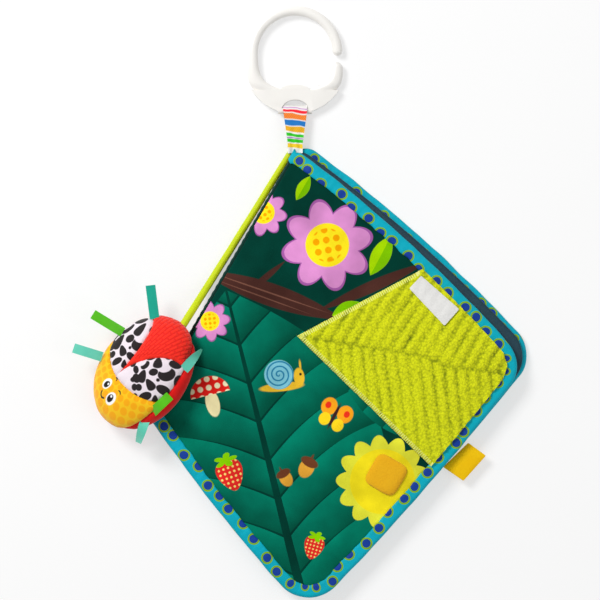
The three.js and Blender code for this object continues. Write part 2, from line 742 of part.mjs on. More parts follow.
// Tether and its stitched end
const tether_points = tether_route.map(([x, y, z]) => new THREE.Vector3(x, y, z));
const tether_section = new THREE.Shape();
tether_section.absarc(0, 0, tether_radius, 0, Math.PI * 2);
const tether = new THREE.ExtrudeGeometry(tether_section, {
  steps: tether_route.length * 2,
  curveSegments: tether_half_sides,
  extrudePath: new THREE.CatmullRomCurve3(tether_points),
});
const tether_end_high = hinge_height - strap_end_thickness / 2 - layer_gap;
const tether_end = new THREE.CylinderGeometry(
  tether_end_radius,
  tether_end_radius,
  tether_end_high - tether_end_low,
  pivot_sides,
);
tether_end.rotateX(Math.PI / 2);
tether_end.translate(...tether_pivot, (tether_end_low + tether_end_high) / 2);

// Ladybug, in its own frame: +x towards the head, +y to its right seen from above
function plumpBody(drawn_in) {
  const body = new THREE.SphereGeometry(1, bug_segments, bug_rings);
  body.rotateX(Math.PI / 2);
  const points = body.attributes.position;
  for (let i = 0; i < points.count; i += 1) {
    const z = points.getZ(i);
    points.setXYZ(
      i,
      points.getX(i) * (bug_half_length - drawn_in),
      points.getY(i) * (bug_half_width - drawn_in),
      z * ((z > 0 ? bug_crown : bug_belly) - drawn_in),
    );
  }
  return solid(body);
}

// A thin wall along a curve, which parts two panels where they are sewn together.
function seamWall(points) {
  const sides = points.map((point, i) => {
    const before = points[Math.max(i - 1, 0)];
    const after = points[Math.min(i + 1, points.length - 1)];
    const size = Math.hypot(after[0] - before[0], after[1] - before[1]);
    const across = [(before[1] - after[1]) / size, (after[0] - before[0]) / size];
    return [1, -1].map((way) => [
      point[0] + (across[0] * way * seam_gap) / 2,
      point[1] + (across[1] * way * seam_gap) / 2,
    ]);
  });
  const loop = [...sides.map(([left]) => left), ...sides.map(([, right]) => right).reverse()];
  return prism(loop.reverse(), -bug_belly, bug_crown + overrun);
}

const curvePoints = (curve, steps) => curve.getPoints(steps).map((point) => [point.x, point.y]);
const reach_x = bug_half_length + overrun;
const reach_y = bug_half_width + overrun;
const head_arc = new THREE.EllipseCurve(
  head_arc_x, head_arc_y, head_arc_radius, head_arc_radius, -Math.PI / 2, Math.PI / 2,
);
const apex_x = head_arc_x + head_arc_radius;
const head_seam = [
  [head_arc_x + seam_gap, -reach_y],
  ...curvePoints(head_arc, arc_seam_steps),
  [head_arc_x + seam_gap, reach_y],
];
// The back panel's two seams, from its apex at the head: shares of the body's half length and half width.
const apex_share = -0.3;
const left_seam_shares = [[0, -0.38], [-1.16, -1.05]];
const right_seam_shares = [[-0.28, -0.12], [-1.16, 0.8]];
function backSeam(apex_y, shares) {
  const [bend, end] = shares.map(
    ([along_share, across_share]) =>
      new THREE.Vector2(bug_half_length * along_share, bug_half_width * across_share),
  );
  return curvePoints(
    new THREE.QuadraticBezierCurve(new THREE.Vector2(apex_x, apex_y), bend, end),
    side_seam_steps,
  );
}
const left_seam = backSeam(bug_half_width * apex_share, left_seam_shares);
const right_seam = backSeam(bug_half_width * apex_share + seam_gap, right_seam_shares);

const whole_body = plumpBody(0);
const hollow = plumpBody(panel_thickness);
const stuffing = plumpBody(panel_thickness + layer_gap);
const skin = whole_body.subtract(hollow);
const wide = [[-reach_x, -reach_y], [reach_x, -reach_y], [reach_x, reach_y], [-reach_x, reach_y]];
const upper_skin = skin.intersect(prism(wide, seam_gap / 2, bug_crown + overrun));
const belly = skin.intersect(prism(wide, -bug_belly - overrun, -seam_gap / 2));
const panels = upper_skin
  .subtract(seamWall(head_seam))
  .subtract(seamWall(left_seam))
  .subtract(seamWall(right_seam))
  .decompose()
  .filter((body) => body.volume() > panel_thickness ** 3)
  .map((body) => {
    const box = body.boundingBox();
    return { body, x: box.min[0] + box.max[0], y: box.min[1] + box.max[1] };
  })
  .sort((a, b) => b.x - a.x);
const [head_panel, ...wing_panels] = panels;
const [left_wing, back_panel, right_wing] = wing_panels.sort((a, b) => a.y - b.y);

function legGeometry({ around, turn, rise }) {
  const edge = 1 / Math.hypot(Math.cos(around) / bug_half_length, Math.sin(around) / bug_half_width);
  const start = edge + leg_gap + (leg_width / 2) * Math.abs(Math.sin(turn));
  const along = [Math.cos(around + turn), Math.sin(around + turn)];
  const section = [[-1, -1], [1, -1], [1, 1], [-1, 1]];
  const stations = leg_shares.map((share) =>
    section.map(([across, up]) => {
      const side = (across * leg_width) / 2;
      return [
        Math.cos(around) * start + along[0] * share * leg_length - along[1] * side,
        Math.sin(around) * start + along[1] * share * leg_length + along[0] * side,
        rise * share ** 2 + (up * leg_thickness) / 2,
      ];
    }),
  );
  return sweep(stations, section);
}

const leg_colours = ["#0ab49b", "#5ac800", "#64dcbe", "#64dcbe", "#5ac800", "#64dcbe"];
const ladybug = new THREE.Group();
ladybug.add(
  piece("ladybug_head", head_panel.body, "#ffc814"),
  piece("ladybug_wing_left", left_wing.body, "#f0e4ec"),
  piece("ladybug_wing_right", right_wing.body, "#f0e4ec"),
  piece("ladybug_back", back_panel.body, "#ff2814"),
  piece("ladybug_belly", belly, "#e60a0a"),
  piece("ladybug_stuffing", stuffing, "#f4f2ee", 1),
  ...legs.map((leg, i) => piece(leg.name, legGeometry(leg), leg_colours[i], 0.45)),
);
ladybug.position.set(spine_length * bug_place_share, bug_y, bug_height);
ladybug.rotation.set(bug_lean, 0, bug_turn);

const book = new THREE.Group();
book.position.set(corner_x, corner_y, 0);
book.rotation.z = spine_turn;
book.add(back_cover, inner_page, front_cover, leaf_flap, ladybug);

const bar_place = [ring_x, strap_end_y + strap_length, ring_height];
const strap_group = new THREE.Group();
strap_group.position.set(...bar_place);
strap_group.add(piece("strap_loop", strap, "#f4f0ee"));
const ring_group = new THREE.Group();
ring_group.position.set(bar_place[0], bar_place[1] - bar_y, bar_place[2]);
ring_group.add(piece("hanging_ring", ring_body, "#f0eeea", 0.25));

const cloth_book = new THREE.Group();
cloth_book.add(
  book,
  strap_group,
  ring_group,
  piece("tether_end", tether_end, "#d0e800"),
  piece("tether", tether, "#d0e800"),
);

export default cloth_book;
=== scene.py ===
# %% [markdown]
# # A crinkle cloth book, dressed
#
# The real thing is a soft book for a pram: two padded covers and a rustling satin page sewn along one spine,
# a split plastic ring on a ribbon strap, and a small stuffed ladybug on a lime tether. It lies on its back
# cover and is seen straight from above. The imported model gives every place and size, and this script gives
# each piece its cloth, pile, stitches and print.

# %% Start
import json
import math

import bmesh
import bpy
import numpy as np
from mathutils import Matrix, Vector, kdtree, noise
from mathutils.bvhtree import BVHTree


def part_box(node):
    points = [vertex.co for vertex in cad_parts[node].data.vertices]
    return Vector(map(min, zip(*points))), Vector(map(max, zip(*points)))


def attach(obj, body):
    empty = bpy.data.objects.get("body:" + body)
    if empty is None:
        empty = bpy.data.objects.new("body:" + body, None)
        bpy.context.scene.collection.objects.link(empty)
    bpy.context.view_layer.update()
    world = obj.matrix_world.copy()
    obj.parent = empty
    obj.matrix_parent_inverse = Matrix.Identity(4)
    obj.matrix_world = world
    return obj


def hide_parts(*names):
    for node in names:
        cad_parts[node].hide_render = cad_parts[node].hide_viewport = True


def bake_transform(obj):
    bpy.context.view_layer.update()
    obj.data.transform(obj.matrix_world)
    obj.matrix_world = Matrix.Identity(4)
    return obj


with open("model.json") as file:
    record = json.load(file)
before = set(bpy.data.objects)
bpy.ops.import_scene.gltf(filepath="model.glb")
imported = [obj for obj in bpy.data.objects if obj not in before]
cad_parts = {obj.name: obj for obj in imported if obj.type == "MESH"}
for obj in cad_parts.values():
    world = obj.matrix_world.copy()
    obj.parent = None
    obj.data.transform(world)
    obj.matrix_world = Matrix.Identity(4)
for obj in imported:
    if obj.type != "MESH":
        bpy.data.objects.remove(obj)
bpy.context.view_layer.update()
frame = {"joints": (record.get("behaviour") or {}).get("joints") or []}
MM = 0.001
scene = bpy.context.scene

# %% [markdown]
# ## Camera
#
# The photograph looks straight down on the flat book. A long lens from well above keeps the far corners
# from leaning, which is how such product pictures are taken. The picture is 600 pixels square, and one
# pixel is 0.58 mm on the book, so the view is 348 mm wide.

# %% Camera
PICTURE_PIXELS = 600
PIXEL = 0.58 * MM
LENS = 150
SENSOR = 36
view_width = PICTURE_PIXELS * PIXEL
bpy.ops.object.camera_add(location=(0.2 * MM, 1.2 * MM, view_width * LENS / SENSOR + 10 * MM))
camera = bpy.context.object
camera.data.lens = LENS
camera.data.sensor_width = SENSOR
scene.camera = camera
print("camera height, m:", round(camera.location.z, 3))

# %% [markdown]
# ## Small helpers
#
# Colours are written as sRGB hex, the way a paint or print colour is given, and one function turns them to
# the linear numbers that shaders use. One function adds a node with its settings and links. Meshes of cloth
# are made from rows of points, so one function closes such rows into a piece and gives it a UV map whose
# numbers are millimetres of cloth, because a weave or a stripe follows the cloth and not the room.

# %% Helpers
def colour(code):
    channels = [int(code[i : i + 2], 16) / 255 for i in (1, 3, 5)]
    return [c / 12.92 if c <= 0.04045 else ((c + 0.055) / 1.055) ** 2.4 for c in channels] + [1.0]


def add(tree, kind, inputs=None, **settings):
    made = tree.nodes.new(kind)
    for name, value in settings.items():
        setattr(made, name, value)
    for name, value in (inputs or {}).items():
        if isinstance(value, bpy.types.NodeSocket):
            tree.links.new(value, made.inputs[name])
        else:
            made.inputs[name].default_value = value
    return made


def maths(tree, operation, *values):
    return add(tree, "ShaderNodeMath", dict(enumerate(values)), operation=operation).outputs[0]


def ranged(tree, value, low, high, to_low=0.0, to_high=1.0):
    limits = {"Value": value, "From Min": low, "From Max": high, "To Min": to_low, "To Max": to_high}
    return add(tree, "ShaderNodeMapRange", limits).outputs[0]


def on_object(tree):
    return add(tree, "ShaderNodeTexCoord").outputs["Object"]


def on_cloth(tree):
    return add(tree, "ShaderNodeUVMap", uv_map="cloth_mm").outputs[0]


def kept(tree, name):
    return add(tree, "ShaderNodeAttribute", attribute_name=name).outputs["Fac"]


def bumped(tree, height, distance, strength):
    inputs = {"Height": height, "Distance": distance, "Strength": strength}
    return add(tree, "ShaderNodeBump", inputs).outputs[0]


def new_material(name):
    material = bpy.data.materials.new(name)
    material.use_nodes = True
    material.node_tree.nodes.clear()
    return material, material.node_tree


def mesh_piece(name, points, faces, uvs=None):
    mesh = bpy.data.meshes.new(name)
    mesh.from_pydata([tuple(p) for p in points], [], [tuple(f) for f in faces])
    if uvs is not None:
        layer = mesh.uv_layers.new(name="cloth_mm")
        corner_vertices = np.empty(len(mesh.loops), int)
        mesh.loops.foreach_get("vertex_index", corner_vertices)
        layer.data.foreach_set("uv", np.asarray(uvs, np.float32)[corner_vertices].ravel())
    mesh.validate()
    mesh.update()
    made = bpy.data.objects.new(name, mesh)
    scene.collection.objects.link(made)
    return made


def only(piece):
    bpy.ops.object.select_all(action="DESELECT")
    piece.select_set(True)
    bpy.context.view_layer.objects.active = piece


def apply_modifier(piece, kind, **settings):
    only(piece)
    modifier = piece.modifiers.new(kind.title(), kind)
    for name, value in settings.items():
        setattr(modifier, name, value)
    bpy.ops.object.modifier_apply(modifier=modifier.name)


def smooth(piece, angle=60):
    only(piece)
    bpy.ops.object.shade_smooth_by_angle(angle=math.radians(angle))


def subdivide(piece, levels=1):
    apply_modifier(piece, "SUBSURF", levels=levels, render_levels=levels)


def face_out(piece):
    mesh = bmesh.new()
    mesh.from_mesh(piece.data)
    bmesh.ops.remove_doubles(mesh, verts=mesh.verts, dist=0.01 * MM)
    bmesh.ops.recalc_face_normals(mesh, faces=mesh.faces)
    if mesh.calc_volume(signed=True) < 0:
        bmesh.ops.reverse_faces(mesh, faces=mesh.faces)
    mesh.to_mesh(piece.data)
    mesh.free()


def strip_piece(name, points, uvs, size, angle=60):
    """A closed piece from loops of points that follow one another, size points to each loop."""
    faces = [tuple(range(size)), tuple(reversed(range(len(points) - size, len(points))))]
    for start in range(0, len(points) - size, size):
        for i in range(size):
            a, b = start + i, start + (i + 1) % size
            faces.append((a, b, b + size, a + size))
    made = mesh_piece(name, points, faces, uvs)
    face_out(made)
    smooth(made, angle)
    return made


def two_faced(name, rows, columns, points, uvs):
    """A closed piece from two grids of points, the upper one first, joined round their outline."""
    under = rows * columns
    faces = []
    for j in range(rows - 1):
        for i in range(columns - 1):
            a = j * columns + i
            quad = (a, a + 1, a + 1 + columns, a + columns)
            faces += [quad, tuple(under + k for k in reversed(quad))]
    rim = list(range(columns - 1)) + [j * columns + columns - 1 for j in range(rows - 1)]
    rim += [(rows - 1) * columns + i for i in range(columns - 1, 0, -1)]
    rim += [j * columns for j in range(rows - 1, 0, -1)]
    for a, b in zip(rim, rim[1:] + rim[:1]):
        faces.append((b, a, under + a, under + b))
    made = mesh_piece(name, points, faces, uvs)
    face_out(made)
    return made


def lump(p, seed, size):
    """A slow unevenness of cloth, between about -1 and 1, at a place in plan."""
    return noise.noise(Vector((p.x, p.y, seed)) / size)


def finish_piece(piece, material, body, slot, *nodes):
    piece.data.materials.clear()
    piece.data.materials.append(material)
    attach(piece, body)
    if nodes:
        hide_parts(*nodes)
    print(piece.name, "rides on", body, "with", len(piece.data.polygons), "faces")


# %% [markdown]
# ## The book's own directions
#
# The book lies at a slant, so its places are given beside its spine: `along` runs down the spine from the
# top corner and `across` runs into the covers. The hinge of the page gives that corner and direction.

# %% Directions
joints = {joint["name"]: joint for joint in frame["joints"]}
corner = Vector(joints["page_turn"]["pos_m"])
spine_way = Vector(joints["page_turn"]["axis"]).normalized()
cover_way = Vector((-spine_way.y, spine_way.x, 0))


def book(along, across, height):
    return Vector((corner.x, corner.y, 0)) + spine_way * along + cover_way * across + Vector((0, 0, height))


print("top corner, mm:", [round(x / MM, 2) for x in corner], "spine runs", [round(x, 3) for x in spine_way])

# %% [markdown]
# ## Tether
#
# A lime cord, 3.5 mm thick, runs from under the strap down beside the spine and climbs to the ladybug's
# tail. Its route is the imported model's own. It is a knitted cord, so it is a tube whose UV map runs with
# its length, and the knit's little V shapes can follow it. Its soft loops make it look wider than the cord
# that they cover, more so towards the toy, and its end is drawn on into the toy.

# %% Tether
TETHER_DIAMETER = 3.5 * MM
TETHER_WIDER = 1.12
TETHER_WIDER_ON = 0.14
TETHER_IN_TOY = 2.4 * MM
TETHER_ROUTE = [
    (-4.5, 88.2, 2.5), (-6.9, 84.4, 2.3), (-11.0, 77.9, 2.0), (-15.8, 70.2, 1.9),
    (-20.7, 62.2, 1.85), (-25.6, 54.2, 1.85), (-30.6, 46.2, 1.85), (-35.6, 38.2, 1.85),
    (-40.5, 30.2, 1.95), (-45.5, 22.3, 2.3), (-50.3, 14.5, 3.3), (-54.9, 7.1, 5.3),
    (-59.2, 0.1, 8.4), (-63.0, -6.1, 11.6), (-66.5, -11.8, 14.0),
]


def smooth_line(points, steps):
    """Points on a smooth curve through the given ones (Catmull-Rom), steps to each stretch."""
    p = [Vector(q) for q in points]
    p = [p[0] * 2 - p[1]] + p + [p[-1] * 2 - p[-2]]
    line = []
    for a, b, c, d in zip(p, p[1:], p[2:], p[3:]):
        for k in range(steps):
            t = k / steps
            line.append(
                0.5 * (2 * b + (c - a) * t + (2 * a - 5 * b + 4 * c - d) * t * t
                       + (3 * b - a - 3 * c + d) * t * t * t)
            )
    return line + [p[-2]]


def tube(name, line, radius, sides, swell):
    """A tube along a line, with a UV map in millimetres: round it, then along it."""
    points, uvs = [], []
    run = 0
    for k, place in enumerate(line):
        ahead = (line[min(k + 1, len(line) - 1)] - line[max(k - 1, 0)]).normalized()
        side = ahead.cross(Vector((0, 0, 1)))
        side = side.normalized() if side.length > 1e-6 else Vector((1, 0, 0))
        up = side.cross(ahead)
        run += (place - line[k - 1]).length if k else 0
        r = radius * swell(run)
        for i in range(sides):
            turn = 2 * math.pi * i / sides
            points.append(place + side * (r * math.cos(turn)) + up * (r * math.sin(turn)))
            uvs.append((turn * radius / MM, run / MM))
    return strip_piece(name, points, uvs, sides)


tether_line = smooth_line([Vector(p) * MM for p in TETHER_ROUTE], 6)
tether_length = sum((b - a).length for a, b in zip(tether_line, tether_line[1:]))
tether_run = (tether_line[-1] - tether_line[-2]).normalized()
tether_drawn = tether_line + [tether_line[-1] + tether_run * more for more in (1 * MM, TETHER_IN_TOY)]
tether = tube(
    "tether_cord", tether_drawn, TETHER_DIAMETER / 2, 20,
    lambda run: TETHER_WIDER + TETHER_WIDER_ON * run / tether_length,
)
print("tether length, mm:", round(tether_length / MM, 1))

# %% [markdown]
# ## Cloth finishes
#
# Almost everything here is a textile. Short-pile velour and brushed jersey look soft because light grazes
# the fibre tips, which sheen gives, and because nothing mirrors: roughness is near 1. The pile itself is
# fine, about half a millimetre from clump to clump, so it is a noise in the bump. A woven tape or ribbon
# is smoother, with a crosswise rib for each weft thread, and satin has a low roughness along its floats.

# %% Cloth finishes
def pile_bump(tree, place, grain, height, extra=None):
    """The bump of a brushed surface: grain is the clump size in metres, height how deep it is."""
    fine = add(tree, "ShaderNodeTexNoise", {"Vector": place, "Scale": 1 / grain, "Detail": 3.0})
    depth = fine.outputs["Fac"]
    if extra is not None:
        depth = maths(tree, "ADD", depth, extra)
    return bumped(tree, depth, height, 0.7)


def shaded(tree, base, normal, roughness, sheen, specular=0.3):
    look = {
        "Base Color": base, "Normal": normal, "Roughness": roughness, "Sheen Weight": sheen,
        "Sheen Roughness": 0.4, "Specular IOR Level": specular,
    }
    shader = add(tree, "ShaderNodeBsdfPrincipled", look)
    add(tree, "ShaderNodeOutputMaterial", {"Surface": shader.outputs[0]})


def blended(tree, share, first, second):
    """Two colours mixed. The Mix node's colour sockets are numbers 6 and 7, its colour output number 2."""
    return add(tree, "ShaderNodeMix", {0: share, 6: first, 7: second}, data_type="RGBA").outputs[2]


def mottled(tree, place, code, dark_code, size):
    """A cloth's colour, a little uneven where the pile lies one way or the other."""
    cloudy = add(tree, "ShaderNodeTexNoise", {"Vector": place, "Scale": 1 / size, "Detail": 4.0})
    return blended(tree, cloudy.outputs["Fac"], colour(dark_code), colour(code))


def pile_material(name, code, dark_code, grain=0.6 * MM, height=0.25 * MM, sheen=0.35, patch=9 * MM):
    material, tree = new_material(name)
    place = on_object(tree)
    base = mottled(tree, place, code, dark_code, patch)
    shaded(tree, base, pile_bump(tree, place, grain, height), 0.9, sheen)
    return material


tether_cloth, tree = new_material("knitted_lime_cord")
around, along = add(tree, "ShaderNodeSeparateXYZ", {"Vector": on_cloth(tree)}).outputs[:2]
# Knit: columns round the cord 1.2 mm apart, and stitches 1.4 mm long that lean both ways.
column = maths(tree, "PINGPONG", around, 0.6)
lean = maths(tree, "MULTIPLY_ADD", column, 0.9, along)
both = maths(tree, "ADD", column, maths(tree, "PINGPONG", lean, 0.7))
knit = bumped(tree, both, 0.2 * MM, 0.5)
shaded(tree, mottled(tree, on_object(tree), "#D6E600", "#BFD200", 6 * MM), knit, 0.6, 0.1)
finish_piece(tether, tether_cloth, "tether", "tether_cord", "tether")

# %% [markdown]
# ## Outlines of the covers
#
# The covers are a slanted four-sided shape with rounded fore corners and slightly swollen edges. Cloth needs
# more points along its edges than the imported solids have, so the outline is worked out here again from the
# same sizes. Each edge is named: spine, tail, fore and head. A reach says how far an edge or corner lies past
# the front cover's. An outline can be drawn in from its edges, for the stitch line of the binding.

# %% Outlines
SPINE_LENGTH = 175.4 * MM
HEAD_LENGTH = 182.8 * MM
HEAD_ANGLE = math.radians(77.1)
TAIL_LENGTH = 151.2 * MM
TAIL_ANGLE = math.radians(68.8)
BOWS = {"spine": 0, "tail": 3 * MM, "fore": 3 * MM, "head": 5 * MM}
FORE_HEAD_RADIUS = 15.9 * MM
FORE_TAIL_RADIUS = 18.2 * MM
SPINE_TAIL_RADIUS = 3 * MM
LEAST_RADIUS = 1.5 * MM
FRONT_CORNER, BACK_CORNER, PAGE_CORNER = 3 * MM, 8 * MM, 5 * MM
BACK_REACH = {"spine": 6 * MM, "head": 8.5 * MM, "fore": 2.9 * MM, "foot": -0.5 * MM, "tail": -1.2 * MM}
PAGE_REACH = {"spine": 1.8 * MM, "head": 6.7 * MM, "fore": 0.9 * MM, "foot": -2 * MM, "tail": -3.2 * MM}
FRONT_REACH = {"spine": 0, "head": 0, "fore": 0, "foot": 0, "tail": 0}


def cover_corners(reach):
    """The four unrounded corners: spine head, spine tail, fore tail, fore head, as (along, across)."""
    return [
        Vector((-reach["spine"], 0)),
        Vector((SPINE_LENGTH, 0)),
        Vector((SPINE_LENGTH + TAIL_LENGTH * math.cos(TAIL_ANGLE) + reach["tail"],
                TAIL_LENGTH * math.sin(TAIL_ANGLE) + reach["foot"])),
        Vector((HEAD_LENGTH * math.cos(HEAD_ANGLE) - reach["head"],
                HEAD_LENGTH * math.sin(HEAD_ANGLE) + reach["fore"])),
    ]


def outline(reach, spine_radius, inset, spine_inset, counts=(72, 70)):
    """The outline as four lists of points (spine, tail, fore, head), each from mid-corner to mid-corner."""
    corners = cover_corners(reach)
    radii = [spine_radius, SPINE_TAIL_RADIUS, FORE_TAIL_RADIUS, FORE_HEAD_RADIUS]
    insets = [spine_inset, inset, inset, inset]
    bows = list(BOWS.values())
    ways = [(corners[(i + 1) % 4] - corners[i]).normalized() for i in range(4)]
    inward = [Vector((-way.y, way.x)) for way in ways]
    moved = []
    for i in range(4):
        j = (i - 1) % 4
        a, b = corners[j] + inward[j] * insets[j], corners[i] + inward[i] * insets[i]
        cross = ways[j].x * ways[i].y - ways[j].y * ways[i].x
        gap = b - a
        moved.append(a + ways[j] * ((gap.x * ways[i].y - gap.y * ways[i].x) / cross))
    arcs = []
    for i in range(4):
        j = (i - 1) % 4
        radius = max(radii[i] - (insets[i] + insets[j]) / 2, LEAST_RADIUS)
        turn = math.acos(ways[j].dot(ways[i]))
        reach_in = radius * math.tan(turn / 2)
        start = moved[i] - ways[j] * reach_in
        arcs.append((start + inward[j] * radius, radius, inward[j], turn, radius * turn))

    def bowed(point, edge):
        a, b = corners[edge], corners[(edge + 1) % 4]
        t = min(1, max(0, (point - a).dot(ways[edge]) / (b - a).length))
        return point - inward[edge] * (4 * t * (1 - t) * bows[edge])

    def on_arc(i, share):
        centre, radius, inner, turn, _ = arcs[i]
        c, s = math.cos(turn * share), math.sin(turn * share)
        point = centre + Vector((-inner.x * c + inner.y * s, -inner.x * s - inner.y * c)) * radius
        j = (i - 1) % 4
        return bowed(point, j).lerp(bowed(point, i), share)

    sides = []
    for i in range(4):
        j = (i + 1) % 4
        first, last = on_arc(i, 1), on_arc(j, 0)
        half_a, half_b = arcs[i][4] / 2, arcs[j][4] / 2
        straight = (last - first).length
        total = half_a + straight + half_b
        side = []
        steps = counts[i % 2]
        for k in range(steps + 1):
            d = total * k / steps
            if d < half_a:
                side.append(on_arc(i, 0.5 + 0.5 * d / half_a))
            elif d <= half_a + straight:
                plain_a = arcs[i][0] - inward[i] * arcs[i][1]
                plain_b = arcs[j][0] - inward[i] * arcs[j][1]
                side.append(bowed(plain_a.lerp(plain_b, (d - half_a) / straight), i))
            else:
                side.append(on_arc(j, 0.5 * (d - half_a - straight) / half_b))
        sides.append(side)
    return sides


def patch_grid(sides):
    """Points that fill an outline in rows and columns, evenly spread between its sides (a Coons patch)."""
    spine, tail, fore, head = sides
    fore, head = fore[::-1], head[::-1]
    across_count, along_count = len(tail) - 1, len(spine) - 1
    rows = []
    for j in range(across_count + 1):
        v = j / across_count
        row = []
        for i in range(along_count + 1):
            u = i / along_count
            row.append(
                spine[i] * (1 - v) + fore[i] * v + head[j] * (1 - u) + tail[j] * u
                - (spine[0] * (1 - u) * (1 - v) + spine[-1] * u * (1 - v)
                   + fore[0] * (1 - u) * v + fore[-1] * u * v)
            )
        rows.append(row)
    return rows


def distance_to(points, line):
    """How far each point lies from a line of points, and where along the line that is."""
    p = np.array([tuple(q) for q in points])[:, None, :2]
    ends = np.array([tuple(q) for q in line])[:, :2]
    a, b = ends[:-1], ends[1:]
    step = b - a
    size = np.maximum((step**2).sum(1), 1e-12)
    t = np.clip(((p - a) * step).sum(2) / size, 0, 1)
    gap = np.linalg.norm(p - (a + t[..., None] * step), axis=2)
    nearest = gap.argmin(1)
    run = np.concatenate([[0], np.cumsum(np.sqrt(size))])
    rows = np.arange(len(p))
    return gap[rows, nearest], run[nearest] + t[rows, nearest] * np.sqrt(size[nearest])


print("front cover outline:", sum(map(len, outline(FRONT_REACH, FRONT_CORNER, 0, 0))), "points")

# %% [markdown]
# ## Padded covers
#
# A cover is two cloths with thin wadding and a rustling film between them, sewn together round its edges. So
# it is thin at the stitches, swells to its full thickness within a finger's width, and the stitching gathers
# the cloth into small puckers that fade inwards. Two grids of points, upper cloth and lining, share one
# edge and get that section, and one subdivision rounds it.

# %% Cover shape
HINGE_HEIGHT = corner.z
COVER_THICKNESS = 4.6 * MM
COVER_SEAM = 1.5 * MM
BINDING_WIDTH = 7.5 * MM
SWELL_WIDTH = 11.5 * MM
ROOT_OFFSET = 1.0 * MM
ROOT_TAPER = 14 * MM
ROOT_STEP = 1.7 * MM
EDGE_INSET = 3 * MM
PUCKER_LENGTH = 7.5 * MM
PUCKER_FADE = 6 * MM
PUCKER_HEIGHT = 0.35 * MM
LUMP_HEIGHT = 0.5 * MM
front_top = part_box("front_cover_outer_fabric")[1].z
FULL_STEP = front_top - HINGE_HEIGHT - COVER_THICKNESS / 2


def ease(t):
    t = np.clip(t, 0, 1)
    return t * t * (3 - 2 * t)


def middle_height(side, across):
    return HINGE_HEIGHT + side * (ROOT_STEP + (FULL_STEP - ROOT_STEP) * np.clip(across / ROOT_TAPER, 0, 1))


def wander(run, seed, size):
    """A slow, seeded wander between about -1 and 1 along a length."""
    return np.array([noise.noise(Vector((r / size, seed * 7.3, seed))) for r in run])


def bound_edges(sides):
    return sides[1] + sides[2][1:] + sides[3][1:]


def filled(name, grid, top, bottom):
    """A closed piece from a grid of (along, across) points and the heights of its two faces."""
    flat = [p for row in grid for p in row]
    points = [book(p.x, p.y, z) for heights in (top, bottom) for p, z in zip(flat, heights)]
    made = two_faced(name, len(grid), len(grid[0]), points, [(p.x / MM, p.y / MM) for p in flat] * 2)
    subdivide(made)
    smooth(made, 80)
    return made


def padded_cover(name, reach, spine_radius, side, seed):
    """A cover above (side 1) or below (side -1) the hinge."""
    sides = outline(reach, spine_radius, EDGE_INSET, ROOT_OFFSET)
    grid = patch_grid(sides)
    flat = [p for row in grid for p in row]
    across = np.array([p.y for p in flat])
    edge = bound_edges(outline(reach, spine_radius, 0, 0))
    depth, run = distance_to(flat, edge)
    inside = depth - BINDING_WIDTH
    swell = np.minimum(ease(inside / SWELL_WIDTH), ease((across - 4 * MM) / (ROOT_TAPER - 2 * MM)))
    half = (COVER_SEAM + (COVER_THICKNESS - COVER_SEAM) * swell) / 2
    pucker = np.sin(2 * math.pi * (run / PUCKER_LENGTH + 0.8 * wander(run, seed, 20 * MM)))
    fade = np.exp(-np.clip(inside, 0, None) / PUCKER_FADE) * ease((inside + 1 * MM) / (3 * MM))
    strength = 0.55 + 0.45 * wander(run, seed + 1, 16 * MM)
    soft = np.array([lump(p, seed, 26 * MM) + 0.5 * lump(p, seed, 11 * MM) for p in flat])
    lumps = PUCKER_HEIGHT * pucker * fade * strength + LUMP_HEIGHT * soft * swell
    middle = middle_height(side, across)
    return filled(name, grid, middle + half + lumps, middle - half - lumps * 0.6)


front_cover = padded_cover("front_cover_pad", FRONT_REACH, FRONT_CORNER, 1, seed=1)
back_cover = padded_cover("back_cover_pad", BACK_REACH, BACK_CORNER, -1, seed=2)
for cover in (front_cover, back_cover):
    print(cover.name, "top, mm:", round(max(v.co.z for v in cover.data.vertices) / MM, 1))

# %% [markdown]
# ## The print
#
# The covers' cloth is printed with flat shapes: broad leaves in two greens with dark veins, and small
# garden things over them. A printed shape has a crisp edge and no relief, so each is a mask made of a few
# math nodes, and the masks lay one colour over another. Every motif has its own small frame, u to its right
# and v up, set at a place on the piece in millimetres, turned, and counted in the motif's own size.

# %% Print shapes
SOFTNESS = 0.22


